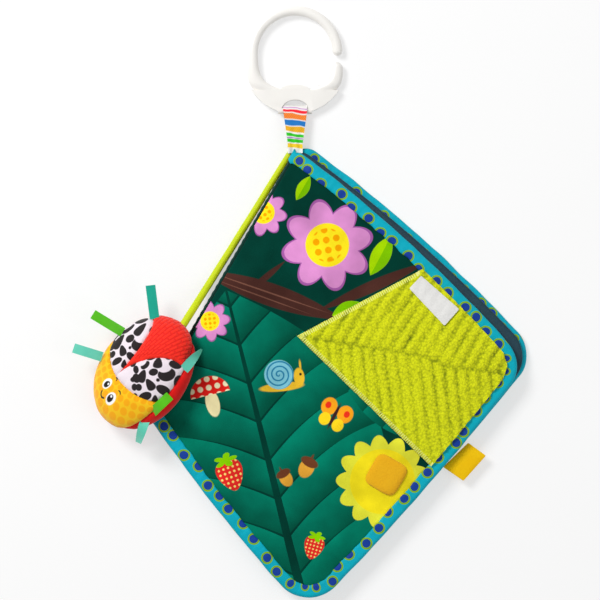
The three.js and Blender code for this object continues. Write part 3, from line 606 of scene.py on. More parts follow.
class Print:
    """Shapes printed one over the other on a flat cloth, in millimetres on the piece."""

    def __init__(self, tree, ground, place=None):
        self.tree = tree
        if place is None:
            counted = {0: on_object(tree), 1: (1 / MM, 1 / MM, 0)}
            place = add(tree, "ShaderNodeVectorMath", counted, operation="MULTIPLY").outputs[0]
        self.place = place
        self.ink = ground
        self.size = 1

    def do(self, operation, *values):
        return maths(self.tree, operation, *values)

    def at(self, x, y, size=1, turn=0):
        """The motif frame that the next shapes are drawn in."""
        self.size = size
        frame_of = {"Vector": self.place, "Location": (x, y, 0), "Rotation": (0, 0, math.radians(turn)),
                    "Scale": (size, size, 1)}
        local = add(self.tree, "ShaderNodeMapping", frame_of, vector_type="TEXTURE").outputs[0]
        return add(self.tree, "ShaderNodeSeparateXYZ", {"Vector": local}).outputs[:2]

    def under(self, value, limit, across=1.0):
        """1 where value is under the limit; across is how wide the shape is for the softness of its edge."""
        soft = SOFTNESS / self.size / across
        return ranged(self.tree, value, limit - soft, limit + soft, 1.0, 0.0)

    def radius(self, u, v, right=0.0, up=0.0, wide=1.0, high=1.0):
        """Distance from a place in the motif frame, counted in an ellipse's half width and height."""
        a = self.do("MULTIPLY_ADD", u, 1 / wide, -right / wide)
        b = self.do("MULTIPLY_ADD", v, 1 / high, -up / high)
        return self.do("SQRT", self.do("MULTIPLY_ADD", a, a, self.do("MULTIPLY", b, b)))

    def spot(self, u, v, right, up, wide, high):
        return self.under(self.radius(u, v, right, up, wide, high), 1, min(wide, high))

    def lay(self, mask, code):
        self.ink = blended(self.tree, mask, self.ink, colour(code))

    def lay_within(self, mask, other, code):
        self.lay(self.do("MULTIPLY", mask, other), code)

    def spots(self, u, v, *rows):
        """Ellipses of one colour or more: place right and up, half width, half height, colour."""
        for right, up, wide, high, code in rows:
            self.lay(self.spot(u, v, right, up, wide, high), code)

    def blade(self, u, v, wide):
        """A leaf with two points, from u = -1 to 1 and wide at its middle."""
        bent = self.do("MULTIPLY_ADD", self.do("MULTIPLY", u, u), wide, self.do("ABSOLUTE", v))
        return self.under(bent, wide)

    def petals(self, u, v, count, depth):
        """The distance from the middle, counted in a flower of rounded petals."""
        angle = self.do("MULTIPLY", self.do("ARCTAN2", v, u), count / 2)
        edge = self.do("MULTIPLY_ADD", self.do("ABSOLUTE", self.do("COSINE", angle)), depth, 1 - depth)
        return self.do("DIVIDE", self.radius(u, v), edge)

    def dotted(self, u, v, gap, dot):
        """Dots in even rows, every second row moved by half a gap."""
        row = self.do("PINGPONG", v, gap)
        column = self.do("PINGPONG", self.do("ADD", u, gap / 2), gap)
        return self.under(self.radius(column, row, gap / 2, gap / 2, dot, dot), 1, dot)

# %% [markdown]
# The front cover shows a garden bed: broad leaves with dark veins, blossoms, a twig with lime leaves, a
# toadstool, a snail, strawberries, acorns and a butterfly, and a round sun behind the orange patch.

# %% Printed motifs
def broad_leaf(ink, x, y, long, wide, turn, vein_gap, vein_width):
    u, v = ink.at(x, y, long, turn)
    inside = ink.blade(u, v, wide / long)
    off = ink.do("ABSOLUTE", v)
    taper = ink.do("MULTIPLY_ADD", u, -0.45 * vein_width / long, 0.75 * vein_width / long)
    midrib = ink.do("LESS_THAN", off, taper)
    back = ink.do("MULTIPLY_ADD", off, -0.8, u)
    back = ink.do("MULTIPLY_ADD", ink.do("MULTIPLY", off, off), 0.55, back)
    between = ink.do("FRACT", ink.do("MULTIPLY", back, long / vein_gap))
    field = blended(ink.tree, between, colour("#00513E"), colour("#007F66"))
    ink.ink = blended(ink.tree, inside, ink.ink, field)
    near = ink.do("PINGPONG", back, vein_gap / long / 2)
    thin = ink.do("MULTIPLY_ADD", off, -0.8 * vein_width / long, 0.36 * vein_width / long)
    ink.lay_within(inside, ink.do("MAXIMUM", midrib, ink.do("LESS_THAN", near, thin)), "#003D31")


def lime_leaf(ink, x, y, long, wide, turn):
    u, v = ink.at(x, y, long, turn)
    whole = ink.blade(u, v, wide / long)
    ink.lay(whole, "#A8DC00")
    ink.lay_within(whole, ink.do("LESS_THAN", v, 0.0), "#7FC400")


def blossom(ink, x, y, radius, turn):
    u, v = ink.at(x, y, radius, turn)
    reach = ink.petals(u, v, 8, 0.3)
    ink.lay(ink.under(reach, 1), "#A65CA6")
    ink.lay(ink.under(reach, 0.94), "#DA8ECB")
    ink.spots(u, v, (0, 0, 0.47, 0.47, "#F9E21E"))
    ink.lay_within(ink.spot(u, v, 0, 0, 0.36, 0.36), ink.dotted(u, v, 0.22, 0.072), "#F5A300")


def toadstool(ink, x, y, size, turn):
    u, v = ink.at(x, y, size, turn)
    ink.spots(u, v, (0, -0.62, 0.36, 0.72, "#F3E7B0"))
    cap = ink.do("MULTIPLY", ink.spot(u, v, 0, -0.12, 1.05, 0.95), ink.do("GREATER_THAN", v, -0.16))
    ink.lay(cap, "#E8231C")
    ink.lay_within(cap, ink.dotted(u, v, 0.46, 0.15), "#F7EFC4")


def snail(ink, x, y, size, turn):
    u, v = ink.at(x, y, size, turn)
    ink.spots(
        u, v, (0.1, -0.85, 1.5, 0.3, "#F2C230"), (1.35, -0.3, 0.36, 0.62, "#F2C230"),
        (1.5, 0.5, 0.07, 0.34, "#F2C230"), (1.46, -0.12, 0.09, 0.09, "#2A211C"),
    )
    winding = ink.do("MULTIPLY_ADD", ink.do("ARCTAN2", v, u), 0.32 / (2 * math.pi), ink.radius(u, v))
    shell = ink.spot(u, v, 0, 0, 1, 1)
    ink.lay(shell, "#86D2E4")
    ink.lay_within(shell, ink.under(ink.do("PINGPONG", winding, 0.16), 0.05), "#2484AE")


def strawberry(ink, x, y, size, turn):
    u, v = ink.at(x, y, size, turn)
    narrow = ink.do("MULTIPLY_ADD", v, 0.28, 0.78)
    body = ink.under(ink.radius(ink.do("DIVIDE", u, narrow), v), 1)
    ink.lay(body, "#E62A26")
    ink.lay_within(body, ink.dotted(u, v, 0.3, 0.07), "#FFE27A")
    ink.lay(ink.under(ink.petals(u, ink.do("MULTIPLY_ADD", v, 1.7, -1.6), 5, 0.6), 0.75), "#8CD600")


def acorn(ink, x, y, size, turn):
    u, v = ink.at(x, y, size, turn)
    ink.spots(
        u, v, (0, 0, 0.72, 1, "#DFA036"), (0, 0.62, 0.88, 0.46, "#6B3A22"), (0, 1.15, 0.1, 0.3, "#6B3A22"),
    )


def butterfly(ink, x, y, size, turn):
    u, v = ink.at(x, y, size, turn)
    ink.spots(
        ink.do("ABSOLUTE", u), v, (0.52, 0.38, 0.46, 0.52, "#F6A21C"), (0.42, -0.38, 0.34, 0.38, "#F7D21E"),
        (0.6, 0.42, 0.17, 0.2, "#E8331E"),
    )
    ink.spots(u, v, (0, 0, 0.1, 0.78, "#3A1E20"))


def sun(ink, x, y, size, turn):
    u, v = ink.at(x, y, size, turn)
    ink.lay(ink.under(ink.petals(u, v, 13, 0.2), 1), "#E6E53A")
    ink.spots(u, v, (0, 0, 0.7, 0.7, "#F7E31E"))


# Branches: place of the middle, half length, turn, width for its length, and colour, with the grain last.
BRANCHES = (
    (42, 9, 34, 24, 0.1, "#4A2A24"), (-16, 4, 44, -19, 0.15, "#4A2A24"), (-20, 14, 15, 40, 0.12, "#4A2A24"),
    (-18, 5.6, 34, -19, 0.012, "#7E5344"), (-22, 3.2, 26, -20, 0.012, "#7E5344"),
)
# Lime leaves: place, half length, half width and turn.
LIME_LEAVES = (
    (47, 27, 13, 5.5, 62), (27, -4, 9, 4, 205), (-45, 33, 9, 4, 100), (62, 6, 9, 4, -20), (2, 66, 8, 3.5, 60),
)
# The other motifs: what it is, its place, size and turn.
MOTIFS = (
    (blossom, 16, 33, 27, 12), (blossom, -21, 52, 14, 34), (blossom, -52, -11, 12, 6),
    (toadstool, -52, -52, 11, 14), (snail, -12, -42, 8.5, 6), (butterfly, 20, -66, 10, -28),
    (acorn, 4, -96, 6, -28), (acorn, -8, -102, 5, 30), (strawberry, -40, -100, 9.5, 20),
    (strawberry, 8, -142, 7, -16), (sun, 48, -104, 27, 12),
)


def garden(ink):
    broad_leaf(ink, -18, -92, 102, 68, 104, 23, 2.4)
    broad_leaf(ink, 66, -44, 58, 34, 150, 15, 1.6)
    for x, y, long, turn, wide, code in BRANCHES:
        u, v = ink.at(x, y, long, turn)
        ink.lay(ink.blade(u, v, wide), code)
    for row in LIME_LEAVES:
        lime_leaf(ink, *row)
    for motif, *row in MOTIFS:
        motif(ink, *row)


# %% Printed velour
printed_velour, tree = new_material("printed_velour")
ink = Print(tree, colour("#003B30"))
garden(ink)
object_place = on_object(tree)
# Painted shade: a slow cloud multiplies the print by 0.76 to 1.26, standing in for the light and shade of the
# cover's soft folds.
cloudy = add(tree, "ShaderNodeTexNoise", {"Vector": object_place, "Scale": 1 / (24 * MM), "Detail": 3.0})
shade = ranged(tree, cloudy.outputs["Fac"], 0.3, 0.7, 0.76, 1.26)
base = add(tree, "ShaderNodeVectorMath", {0: ink.ink, 1: shade}, operation="MULTIPLY")
shaded(tree, base.outputs[0], pile_bump(tree, object_place, 0.5 * MM, 0.18 * MM), 0.92, 0.02, specular=0.06)
print("printed velour:", len(tree.nodes), "nodes")

# %% Covers finished
def face_lining(cover, material, way):
    """The second cloth of a cover, on the faces that look up (way 1) or down (way -1)."""
    cover.data.materials.append(material)
    for face in cover.data.polygons:
        if face.normal.z * way > 0.3:
            face.material_index = 1


cotton_lining = pile_material("cotton_lining", "#2E7F74", "#25695F", 0.8 * MM, 0.12 * MM, sheen=0.15)
for cover, body, way in ((front_cover, "front_cover", -1), (back_cover, "back_cover", 1)):
    names = [body + "_" + part for part in ("outer_fabric", "padding", "crinkle_film", "lining")]
    finish_piece(cover, printed_velour, body, "printed_velour", *names)
    face_lining(cover, cotton_lining, way)

# %% [markdown]
# ## Bindings
#
# The open edges are bound with a turquoise jersey strip, folded over the edge and sewn through. The strip is
# cut longer than the edge, so it puckers between its stitches: its inner border waves and its face has small
# cross folds. One section, a rounded hook, is carried along the edge, and each station has its own swell.

# %% Binding
BINDING_STEP = 1.3 * MM
BINDING_PLY = 0.6 * MM
BINDING_FACE = 2.0 * MM
EDGE_BEND = 2.2 * MM
EDGE_SHARE = 0.35
BINDING_AROUND = 26
BINDING_PUCKER = 4.6 * MM
BORDER_WAVE = 0.7 * MM
EDGE_WAVE = 0.45 * MM
BORDER_TUCK = 0.5 * MM
BINDING_START = 1 * MM
BINDING_PAST = 1.2 * MM
BINDING_CORNER = 1.5 * MM


def bound_line(reach, spine_radius, past):
    """Places along the bound edges, evenly spaced, and the way inwards at each, turned beside the spine."""
    edges = bound_edges(outline(reach, spine_radius, 0, 0, counts=(160, 160)))
    line = [p for p in edges if p.y > BINDING_START]
    if past:
        line = [Vector((line[0].x, -past))] + line + [Vector((line[-1].x - BINDING_CORNER, -past))]
    run = np.concatenate([[0], np.cumsum([(b - a).length for a, b in zip(line, line[1:])])])
    count = round(run[-1] / BINDING_STEP)
    steps = np.linspace(0, run[-1], count + 1)
    places = [Vector(p) for p in zip(*(np.interp(steps, run, [p[i] for p in line]) for i in (0, 1)))]
    ways = []
    for k in range(len(places)):
        ahead = places[min(k + 2, count)] - places[max(k - 2, 0)]
        inward = Vector((-ahead.y, ahead.x)).normalized()
        down_spine = Vector((1 if k > count / 2 else -1, 0))
        near_spine = 1 - float(ease(places[k].y / (12 * MM)))
        ways.append(inward.lerp(down_spine, near_spine).normalized())
    return places, ways, steps


def hook_section(share):
    """The binding's face from its upper border (0) over the edge (0.5) to its lower border (1): in, up."""
    far = abs(2 * share - 1)
    bend = min(1, far / EDGE_SHARE) * math.pi / 2
    flat_share = max(0, far - EDGE_SHARE) / (1 - EDGE_SHARE)
    depth = EDGE_BEND * (1 - math.cos(bend)) + (BINDING_WIDTH - EDGE_BEND) * flat_share
    return depth, math.copysign(math.sin(bend), 0.5 - share)


def binding(name, reach, spine_radius, side, seed, material, body, node):
    places, ways, steps = bound_line(reach, spine_radius, BINDING_PAST if side > 0 else 0)
    fold = 0.5 * wander(steps, seed + 3, 9 * MM) + 0.5 * wander(steps, seed + 4, 3.6 * MM)
    border = wander(steps, seed + 5, 5 * MM)
    edge_wave = wander(steps, seed + 6, 14 * MM)
    pucker = np.sin(2 * math.pi * (steps / BINDING_PUCKER + 1.6 * wander(steps, seed + 7, 12 * MM)))
    shares = [i / BINDING_AROUND for i in range(BINDING_AROUND + 1)]
    points, uvs = [], []
    for k, (place, way) in enumerate(zip(places, ways)):
        middle = float(middle_height(side, place.y))
        outer, inner = [], []
        for share in shares:
            near_border = abs(2 * share - 1)
            swell = 1 + (0.16 * fold[k] + 0.10 * pucker[k]) * (0.4 + near_border)
            depth, height = hook_section(share)
            depth += BORDER_WAVE * border[k] * near_border + EDGE_WAVE * edge_wave[k]
            tuck = BORDER_TUCK * max(0, near_border - 0.86) / 0.14
            face = BINDING_FACE * swell - tuck
            outer.append((depth, height * face))
            inner.append((depth + BINDING_PLY * (1 - abs(height)), height * (face - BINDING_PLY)))
        for depth, up in outer + inner[::-1]:
            flat = place + way * depth
            points.append(book(flat.x, flat.y, middle + up))
        uvs += [(steps[k] / MM, share * 17) for share in shares + shares[::-1]]
    made = strip_piece(name, points, uvs, 2 * len(shares), 70)
    finish_piece(made, material, body, "binding_jersey", node)
    return made


DOT_GAP = 10.8
dotted_jersey, tree = new_material("dotted_binding_jersey")
spread = {"Vector": on_cloth(tree), "Scale": 1 / DOT_GAP, "Randomness": 0.38}
dots = add(tree, "ShaderNodeTexVoronoi", spread, voronoi_dimensions="2D")
dot_size = maths(tree, "MULTIPLY", dots.outputs["Distance"], DOT_GAP)
ring_mask = ranged(tree, dot_size, 3.45, 3.7, 1.0, 0.0)
dot_mask = ranged(tree, dot_size, 2.4, 2.7, 1.0, 0.0)
object_place = on_object(tree)
ground = mottled(tree, object_place, "#00BCD2", "#009FB4", 10 * MM)
ringed = blended(tree, ring_mask, ground, colour("#86B400"))
dotted = blended(tree, dot_mask, ringed, colour("#123E9C"))
shaded(tree, dotted, pile_bump(tree, object_place, 0.45 * MM, 0.08 * MM), 0.6, 0.0, specular=0.15)

front_binding = binding(
    "front_cover_edge", FRONT_REACH, FRONT_CORNER, 1, 11, dotted_jersey, "front_cover", "front_cover_binding"
)
binding("back_cover_edge", BACK_REACH, BACK_CORNER, -1, 21, dotted_jersey, "back_cover", "back_cover_binding")

# %% [markdown]
# ## Page, tab and spine
#
# The page between the covers is two pieces of slate-blue satin with a rustling film inside. It is thin and a
# little crumpled, and it catches the light along its creases. A folded orange tape stands out of its fore
# edge for small fingers to hold. A cord of turned seam runs down the spine where everything is sewn together.

# %% Page
page_low, page_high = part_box("inner_page_back_satin")[0].z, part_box("inner_page_front_satin")[1].z
PAGE_MIDDLE = (page_low + page_high) / 2
PAGE_HALF = (page_high - page_low) / 2
PAGE_STITCHED_HALF = 0.65 * MM
PAGE_SWELL_WIDTH = 9 * MM
PAGE_CRUMPLE = 0.25 * MM
page_sides = outline(PAGE_REACH, PAGE_CORNER, 0, ROOT_OFFSET)
page_grid = patch_grid(page_sides)
page_flat = [p for row in page_grid for p in row]
page_depth, _ = distance_to(page_flat, bound_edges(page_sides))
page_half = PAGE_STITCHED_HALF + (PAGE_HALF - PAGE_STITCHED_HALF) * ease(page_depth / PAGE_SWELL_WIDTH)
crumple = np.array([abs(lump(p, 3, 17 * MM)) + 0.5 * abs(lump(p, 5, 7 * MM)) for p in page_flat])
page_lift = PAGE_CRUMPLE * crumple * ease(page_depth / (5 * MM))
page_half -= page_lift
page = filled("satin_page", page_grid, PAGE_MIDDLE + page_half, PAGE_MIDDLE - page_half)


def woven_material(name, base_of, thread=0.35 * MM, height=0.06 * MM, roughness=0.45, sheen=0.1, specular=0.4):
    """A smooth woven cloth: its weft threads run across, so its bump is a fine ripple along the UV length."""
    material, tree = new_material(name)
    threads = {"Vector": on_cloth(tree), "Scale": MM / thread * 0.32, "Distortion": 0.6, "Detail": 1.0}
    weft = add(tree, "ShaderNodeTexWave", threads, bands_direction="Y")
    bump = bumped(tree, weft.outputs["Fac"], height, 0.6)
    shaded(tree, base_of(tree), bump, roughness, sheen, specular)
    return material


def plain(code, dark_code):
    """A plain colour, a little mottled, for woven_material."""
    return lambda tree: mottled(tree, on_object(tree), code, dark_code, 12 * MM)


# The satin's own colour is slate-blue. It is set darker still as painted shade for the deep gap between the
# covers where the page shows.
page_satin = woven_material("page_satin", plain("#1E4655", "#12323F"), roughness=0.42, specular=0.25)
page_nodes = ("inner_page_front_satin", "inner_page_crinkle_film", "inner_page_back_satin")
finish_piece(page, page_satin, "inner_page", "page_satin", *page_nodes)

# %% Page tab
tab_low, tab_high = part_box("page_tab")
PILLOW_STEP = 1.2 * MM
TAB_CORNERS = [Vector(p) * MM for p in ((98, -81.7), (108.4, -89.3), (95.2, -104.1), (83.3, -95.9))]


def pillow(name, corners, low, high, swell, seed=1):
    """A flat four-sided piece of cloth between two heights, on a grid, with a UV map along its first side."""
    a, b, c, d = corners
    across, along = (max(4, round((end - a).length / PILLOW_STEP)) for end in (b, d))
    points, uvs = [], []
    for top in (True, False):
        for j in range(along + 1):
            for i in range(across + 1):
                u, v = i / across, j / along
                p = a.lerp(b, u).lerp(d.lerp(c, u), v)
                inside = min(1, 6 * min(u, 1 - u, v, 1 - v))
                ripple = swell * lump(p, seed * 5, 6 * MM) * inside
                edge = (high - low) * 0.5 * (1 - inside) * 0.8
                points.append((p.x, p.y, high - edge + ripple if top else low + edge + ripple))
                uvs.append((u * (b - a).length / MM, v * (d - a).length / MM))
    return two_faced(name, along + 1, across + 1, points, uvs)


tab = pillow("orange_page_tab", TAB_CORNERS, tab_low.z, tab_high.z, swell=0.3 * MM)
subdivide(tab)
smooth(tab)
tab_dye = plain("#FFD614", "#FFC000")
tab_tape = woven_material("tab_tape", tab_dye, 0.8 * MM, 0.18 * MM, roughness=0.7, sheen=0.0, specular=0.1)
finish_piece(tab, tab_tape, "inner_page", "tab_tape", "page_tab")

# %% Spine seam
SEAM_RADIUS = 1.15 * MM
SEAM_ACROSS = 0.5 * MM
seam_line = [book(d, SEAM_ACROSS, HINGE_HEIGHT) for d in np.linspace(3 * MM, SPINE_LENGTH + 1 * MM, 220)]
seam = tube("spine_seam_cord", seam_line, SEAM_RADIUS, 12, lambda run: 1 + 0.12 * math.sin(run / (0.7 * MM)))
seam_thread = pile_material("seam_thread", "#003B31", "#00312A", grain=0.5 * MM, height=0.2 * MM)
finish_piece(seam, seam_thread, "back_cover", "seam_thread", "spine_seam")

# %% [markdown]
# ## Chenille leaf
#
# A leaf of thick ribbed chenille is laid over the fore corner of the cover. Its corner half is sewn down and
# its tip is free, and it is made here as one piece. The ribs are 6 mm apart. They run one way in
# the upper half and another in the lower, and the two halves meet in a crease, the leaf's vein.

# %% Leaf shape
fold_hinge = joints["leaf_flap_lift"]
fold_place = Vector(fold_hinge["pos_m"])
fold_way = Vector(fold_hinge["axis"]).normalized()
LEAF_TIP = Vector((-1.6, -19.6)) * MM
LEAF_HEAD = Vector((67, 17)) * MM
LEAF_FOOT = Vector((74.8, -94)) * MM
FREE_EDGES = [LEAF_HEAD, LEAF_TIP, LEAF_FOOT]
VEIN = [Vector(p) * MM for p in ((-1.6, -19.6), (71.5, -31.3), (85.4, -37.1), (118, -41.4))]
RIB_GAP = 6.6 * MM
RIB_HEIGHT = 1.9 * MM
UPPER_RIBS = math.radians(58)
LOWER_RIBS = math.radians(96)
LEAF_STEP = 1.25 * MM
LEAF_THICKNESS = 1.0 * MM
LEAF_TUCK = 1.5 * MM
LEAF_LIFT = 0.25 * MM


def surface_above(piece):
    """How high the piece's upper face is at a place, looking down on it."""
    tree = BVHTree.FromObject(piece, bpy.context.evaluated_depsgraph_get())

    def height(x, y, missing):
        hit = tree.ray_cast(Vector((x, y, 0.1)), Vector((0, 0, -1)))[0]
        return hit.z if hit else missing

    return height


def cut_sheet(edges, middle, reach, step, turn):
    """A flat sheet inside all the given edges (each goes round anticlockwise), in squares laid at a turn."""
    mesh = bmesh.new()
    count = round(2 * reach / step)
    frame_matrix = Matrix.Translation((middle.x, middle.y, 0)) @ Matrix.Rotation(turn, 4, "Z")
    bmesh.ops.create_grid(mesh, x_segments=count, y_segments=count, size=reach, matrix=frame_matrix)
    for a, b in edges:
        out = Vector((b.y - a.y, a.x - b.x, 0)).normalized()
        everything = mesh.verts[:] + mesh.edges[:] + mesh.faces[:]
        bmesh.ops.bisect_plane(
            mesh, geom=everything, plane_co=(a.x, a.y, 0), plane_no=out, clear_outer=True, dist=1e-6
        )
    bmesh.ops.remove_doubles(mesh, verts=mesh.verts, dist=0.25 * step)
    return mesh


def sheet_piece(name, mesh, upper, lower):
    """A closed piece from a flat cut sheet and the heights of its two faces at each place."""
    mesh.verts.ensure_lookup_table()
    flat = [v.co.xy.copy() for v in mesh.verts]
    count = len(flat)
    points = [(p.x, p.y, upper(p)) for p in flat] + [(p.x, p.y, lower(p)) for p in flat]
    faces = []
    for face in mesh.faces:
        ring = [v.index for v in face.verts]
        faces.append(ring)
        faces.append([count + k for k in reversed(ring)])
    for edge in mesh.edges:
        if edge.is_boundary:
            a, b = (v.index for v in edge.verts)
            faces.append((a, b, count + b, count + a))
    mesh.free()
    made = mesh_piece(name, points, faces, [(p.x / MM, p.y / MM) for p in flat] * 2)
    face_out(made)
    smooth(made, 80)
    return made


tucked_sides = outline(FRONT_REACH, FRONT_CORNER, BINDING_WIDTH - LEAF_TUCK, ROOT_OFFSET, counts=(24, 24))
tucked_line = [book(p.x, p.y, 0).xy for p in bound_edges(tucked_sides)]
leaf_edges = [(LEAF_TIP, LEAF_FOOT), (LEAF_HEAD, LEAF_TIP)] + list(zip(tucked_line, tucked_line[1:]))
cover_surface = surface_above(front_cover)


def to_vein(p):
    """Signed distance from the vein, positive on the upper side."""
    gaps = []
    for a, b in zip(VEIN, VEIN[1:]):
        way = b - a
        gap = p - (a + way * min(1, max(0, (p - a).dot(way) / way.length_squared)))
        gaps.append(math.copysign(gap.length, way.x * gap.y - way.y * gap.x))
    return min(gaps, key=abs)


def rib_depth(p):
    """0 in a groove between ribs and 1 on a rib's crown."""
    turn = UPPER_RIBS if to_vein(p) > 0 else LOWER_RIBS
    bend = 1.2 * MM * lump(p, 1, 30 * MM)
    across = p.x * math.sin(turn) - p.y * math.cos(turn) + bend
    wear = 0.75 + 0.5 * lump(p, 6, 14 * MM)
    return 1 - wear * (1 - abs(math.sin(math.pi * across / RIB_GAP)) ** 0.5)


def leaf_top(p):
    depth, _ = distance_to([p], FREE_EDGES)
    near_edge = min(1, depth[0] / (1.6 * MM))
    crease = min(1, abs(to_vein(p)) / (1.8 * MM))
    body = LEAF_THICKNESS + RIB_HEIGHT * rib_depth(p) * (0.35 + 0.65 * near_edge) * (0.55 + 0.45 * crease)
    soft = 0.35 * MM * lump(p, 8, 15 * MM)
    return leaf_bottom(p) + body + soft - 0.5 * MM * (1 - near_edge)


def leaf_bottom(p):
    return cover_surface(p.x, p.y, front_top) + LEAF_LIFT


leaf_middle = (LEAF_TIP + LEAF_HEAD + LEAF_FOOT) / 3
leaf_mesh = cut_sheet(leaf_edges, leaf_middle, 100 * MM, LEAF_STEP, UPPER_RIBS)
LEAF_AREA = sum(face.calc_area() for face in leaf_mesh.faces)
leaf = sheet_piece("chenille_leaf", leaf_mesh, leaf_top, leaf_bottom)


def painted_rib_light(p):
    """How much of the pile's pale colour shows: painted shade darkens it in a groove and in the crease."""
    return rib_depth(p) * (0.45 + 0.55 * min(1, abs(to_vein(p)) / (1.5 * MM)))


edge_gaps, edge_runs = distance_to([v.co for v in leaf.data.vertices], FREE_EDGES)
painted_rib_lights = np.array([painted_rib_light(v.co.xy) for v in leaf.data.vertices])
# The "rib_depth" attribute holds this painted rib light share.
for name, values in (("rib_depth", painted_rib_lights), ("edge_gap", edge_gaps / MM), ("edge_run", edge_runs / MM)):
    leaf.data.attributes.new(name, "FLOAT", "POINT").data.foreach_set("value", values)
ribbed_chenille, tree = new_material("ribbed_chenille")
place = on_object(tree)
tufts = add(tree, "ShaderNodeTexVoronoi", {"Vector": place, "Scale": 1 / (1.5 * MM)})
tuft = maths(tree, "MULTIPLY", tufts.outputs["Distance"], -0.9)
# Painted shade: the pile is mixed towards dark olive in the grooves, in the vein's crease and between the
# tufts, besides the ribs' real relief.
lit = ranged(tree, maths(tree, "ADD", kept(tree, "rib_depth"), tuft), -0.3, 0.6)
base = blended(tree, lit, colour("#8C9800"), mottled(tree, place, "#F0F41A", "#DAE200", 3 * MM))
# Overlock stitches along the two free edges: pale threads 1.3 mm apart in a band 2.6 mm wide.
near = ranged(tree, kept(tree, "edge_gap"), 2.4, 2.7, 1.0, 0.0)
thread = ranged(tree, maths(tree, "PINGPONG", kept(tree, "edge_run"), 0.65), 0.2, 0.4, 1.0, 0.0)
base = blended(tree, maths(tree, "MULTIPLY", near, thread), base, colour("#F2F68C"))
shaded(tree, base, pile_bump(tree, place, 0.7 * MM, 0.7 * MM, tuft), 0.95, 0.3)
leaf.data.materials.append(ribbed_chenille)
flap_lining = pile_material("flap_lining", "#B9C400", "#A4AE00", grain=0.8 * MM, height=0.1 * MM, sheen=0.1)
face_lining(leaf, flap_lining, -1)
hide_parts("chenille_leaf_corner", "chenille_leaf_flap", "leaf_flap_lining")
fold_inward = Vector((-fold_way.y, fold_way.x, 0))
if fold_inward.dot(Vector((LEAF_TIP.x, LEAF_TIP.y, 0)) - fold_place) < 0:
    fold_inward = -fold_inward
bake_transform(leaf)
print("leaf:", len(leaf.data.polygons), "faces")

# %% Label and patch
LABEL_CORNERS = [Vector(p) * MM for p in ((70.2, 15.3), (63.2, 7.9), (83.6, -13.8), (92.3, -4.1))]
LABEL_PLY = 0.6 * MM
DRAPE_REACH = 2.4 * MM
LAID_GAP = 0.2 * MM
FLEECE_HEIGHT = 0.7 * MM
label = pillow("bare_white_label", LABEL_CORNERS, 0, LABEL_PLY, swell=0.15 * MM, seed=3)
leaf_surface, binding_surface = surface_above(leaf), surface_above(front_binding)
drape = [Vector((math.cos(k * math.pi / 4), math.sin(k * math.pi / 4))) * DRAPE_REACH for k in range(8)]
for v in label.data.vertices:
    near = [v.co.xy + way for way in drape] + [v.co.xy]
    v.co.z += max(0, *(surface(p.x, p.y, 0) for p in near for surface in (leaf_surface, binding_surface)))
    v.co.z += LAID_GAP
subdivide(label)
smooth(label)
label_satin = woven_material("label_satin", plain("#F4F3F0", "#E6E5E2"), roughness=0.35, specular=0.5)
finish_piece(label, label_satin, "front_cover", "label_satin", "sewn_label")

PATCH_MIDDLE = Vector((50.2, -100)) * MM
PATCH_SIZE = 20 * MM
PATCH_TURN = math.atan2(spine_way.y, spine_way.x)
patch_region = []
for k in range(48):
    turn = 2 * math.pi * k / 48
    c, s = math.cos(turn), math.sin(turn)
    reach = PATCH_SIZE / 2 / (abs(c) ** 5 + abs(s) ** 5) ** 0.2
    way = turn + PATCH_TURN
    patch_region.append(PATCH_MIDDLE + Vector((math.cos(way), math.sin(way))) * reach)


def patch_top(p):
    depth, _ = distance_to([p], patch_region + patch_region[:1])
    crowned = 1 + float(ease(depth[0] / (2 * MM)))
    return cover_surface(p.x, p.y, front_top) + FLEECE_HEIGHT * crowned


patch_edges = list(zip(patch_region, patch_region[1:] + patch_region[:1]))
patch_mesh = cut_sheet(patch_edges, PATCH_MIDDLE, PATCH_SIZE, 1 * MM, PATCH_TURN)
PATCH_AREA = sum(face.calc_area() for face in patch_mesh.faces)


def patch_bottom(p):
    return cover_surface(p.x, p.y, front_top) + LAID_GAP


patch = sheet_piece("orange_fleece_patch", patch_mesh, patch_top, patch_bottom)
fleece = pile_material("orange_fleece", "#F9C21A", "#EDA800", grain=1.1 * MM, height=0.45 * MM, sheen=0.4)
finish_piece(patch, fleece, "front_cover", "fleece", "fleece_patch")

# %% [markdown]
# ## Ring, strap and tether end
#
# The hanging ring is glossy white plastic, open on its right side so that it can be hooked over a pram's
# handle. It is a round rod spun about the ring's middle, with its two tips rounded off. Its foot is a plate
# with a crescent's outline and softened edges, with a slot in it and a bar under the slot for the strap.

# %% Ring
ring_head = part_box("hanging_ring")[1].y
bar_place = Vector(joints["ring_tilt"]["pos_m"])
RING_OUTER = 27.5 * MM
ROD_RADIUS = 2.9 * MM
RING_GAP = 3.6 * MM
GAP_ANGLE = math.radians(-8)
FOOT_THICKNESS = 4 * MM
FOOT_ARC_RADIUS = 30.4 * MM
FOOT_EDGE_DEPTH = 21.7 * MM
HUMP_WIDTH = 17 * MM
HUMP_RISE = 3.1 * MM
FOOT_BEVEL = 1.2 * MM
FLARE = 0.4
ROD_SUNK = 0.4
BAR_RADIUS = 2.05 * MM
SLOT_WIDTH = 15.6 * MM
SLOT_HEIGHT = 5.9 * MM
ring_middle = Vector((bar_place.x, ring_head - RING_OUTER, bar_place.z))
ring_radius = RING_OUTER - ROD_RADIUS


def settle():
    """The piece just added, with its place, turn and scale taken into its mesh."""
    bpy.ops.object.transform_apply(location=True, rotation=True, scale=True)
    return bpy.context.object


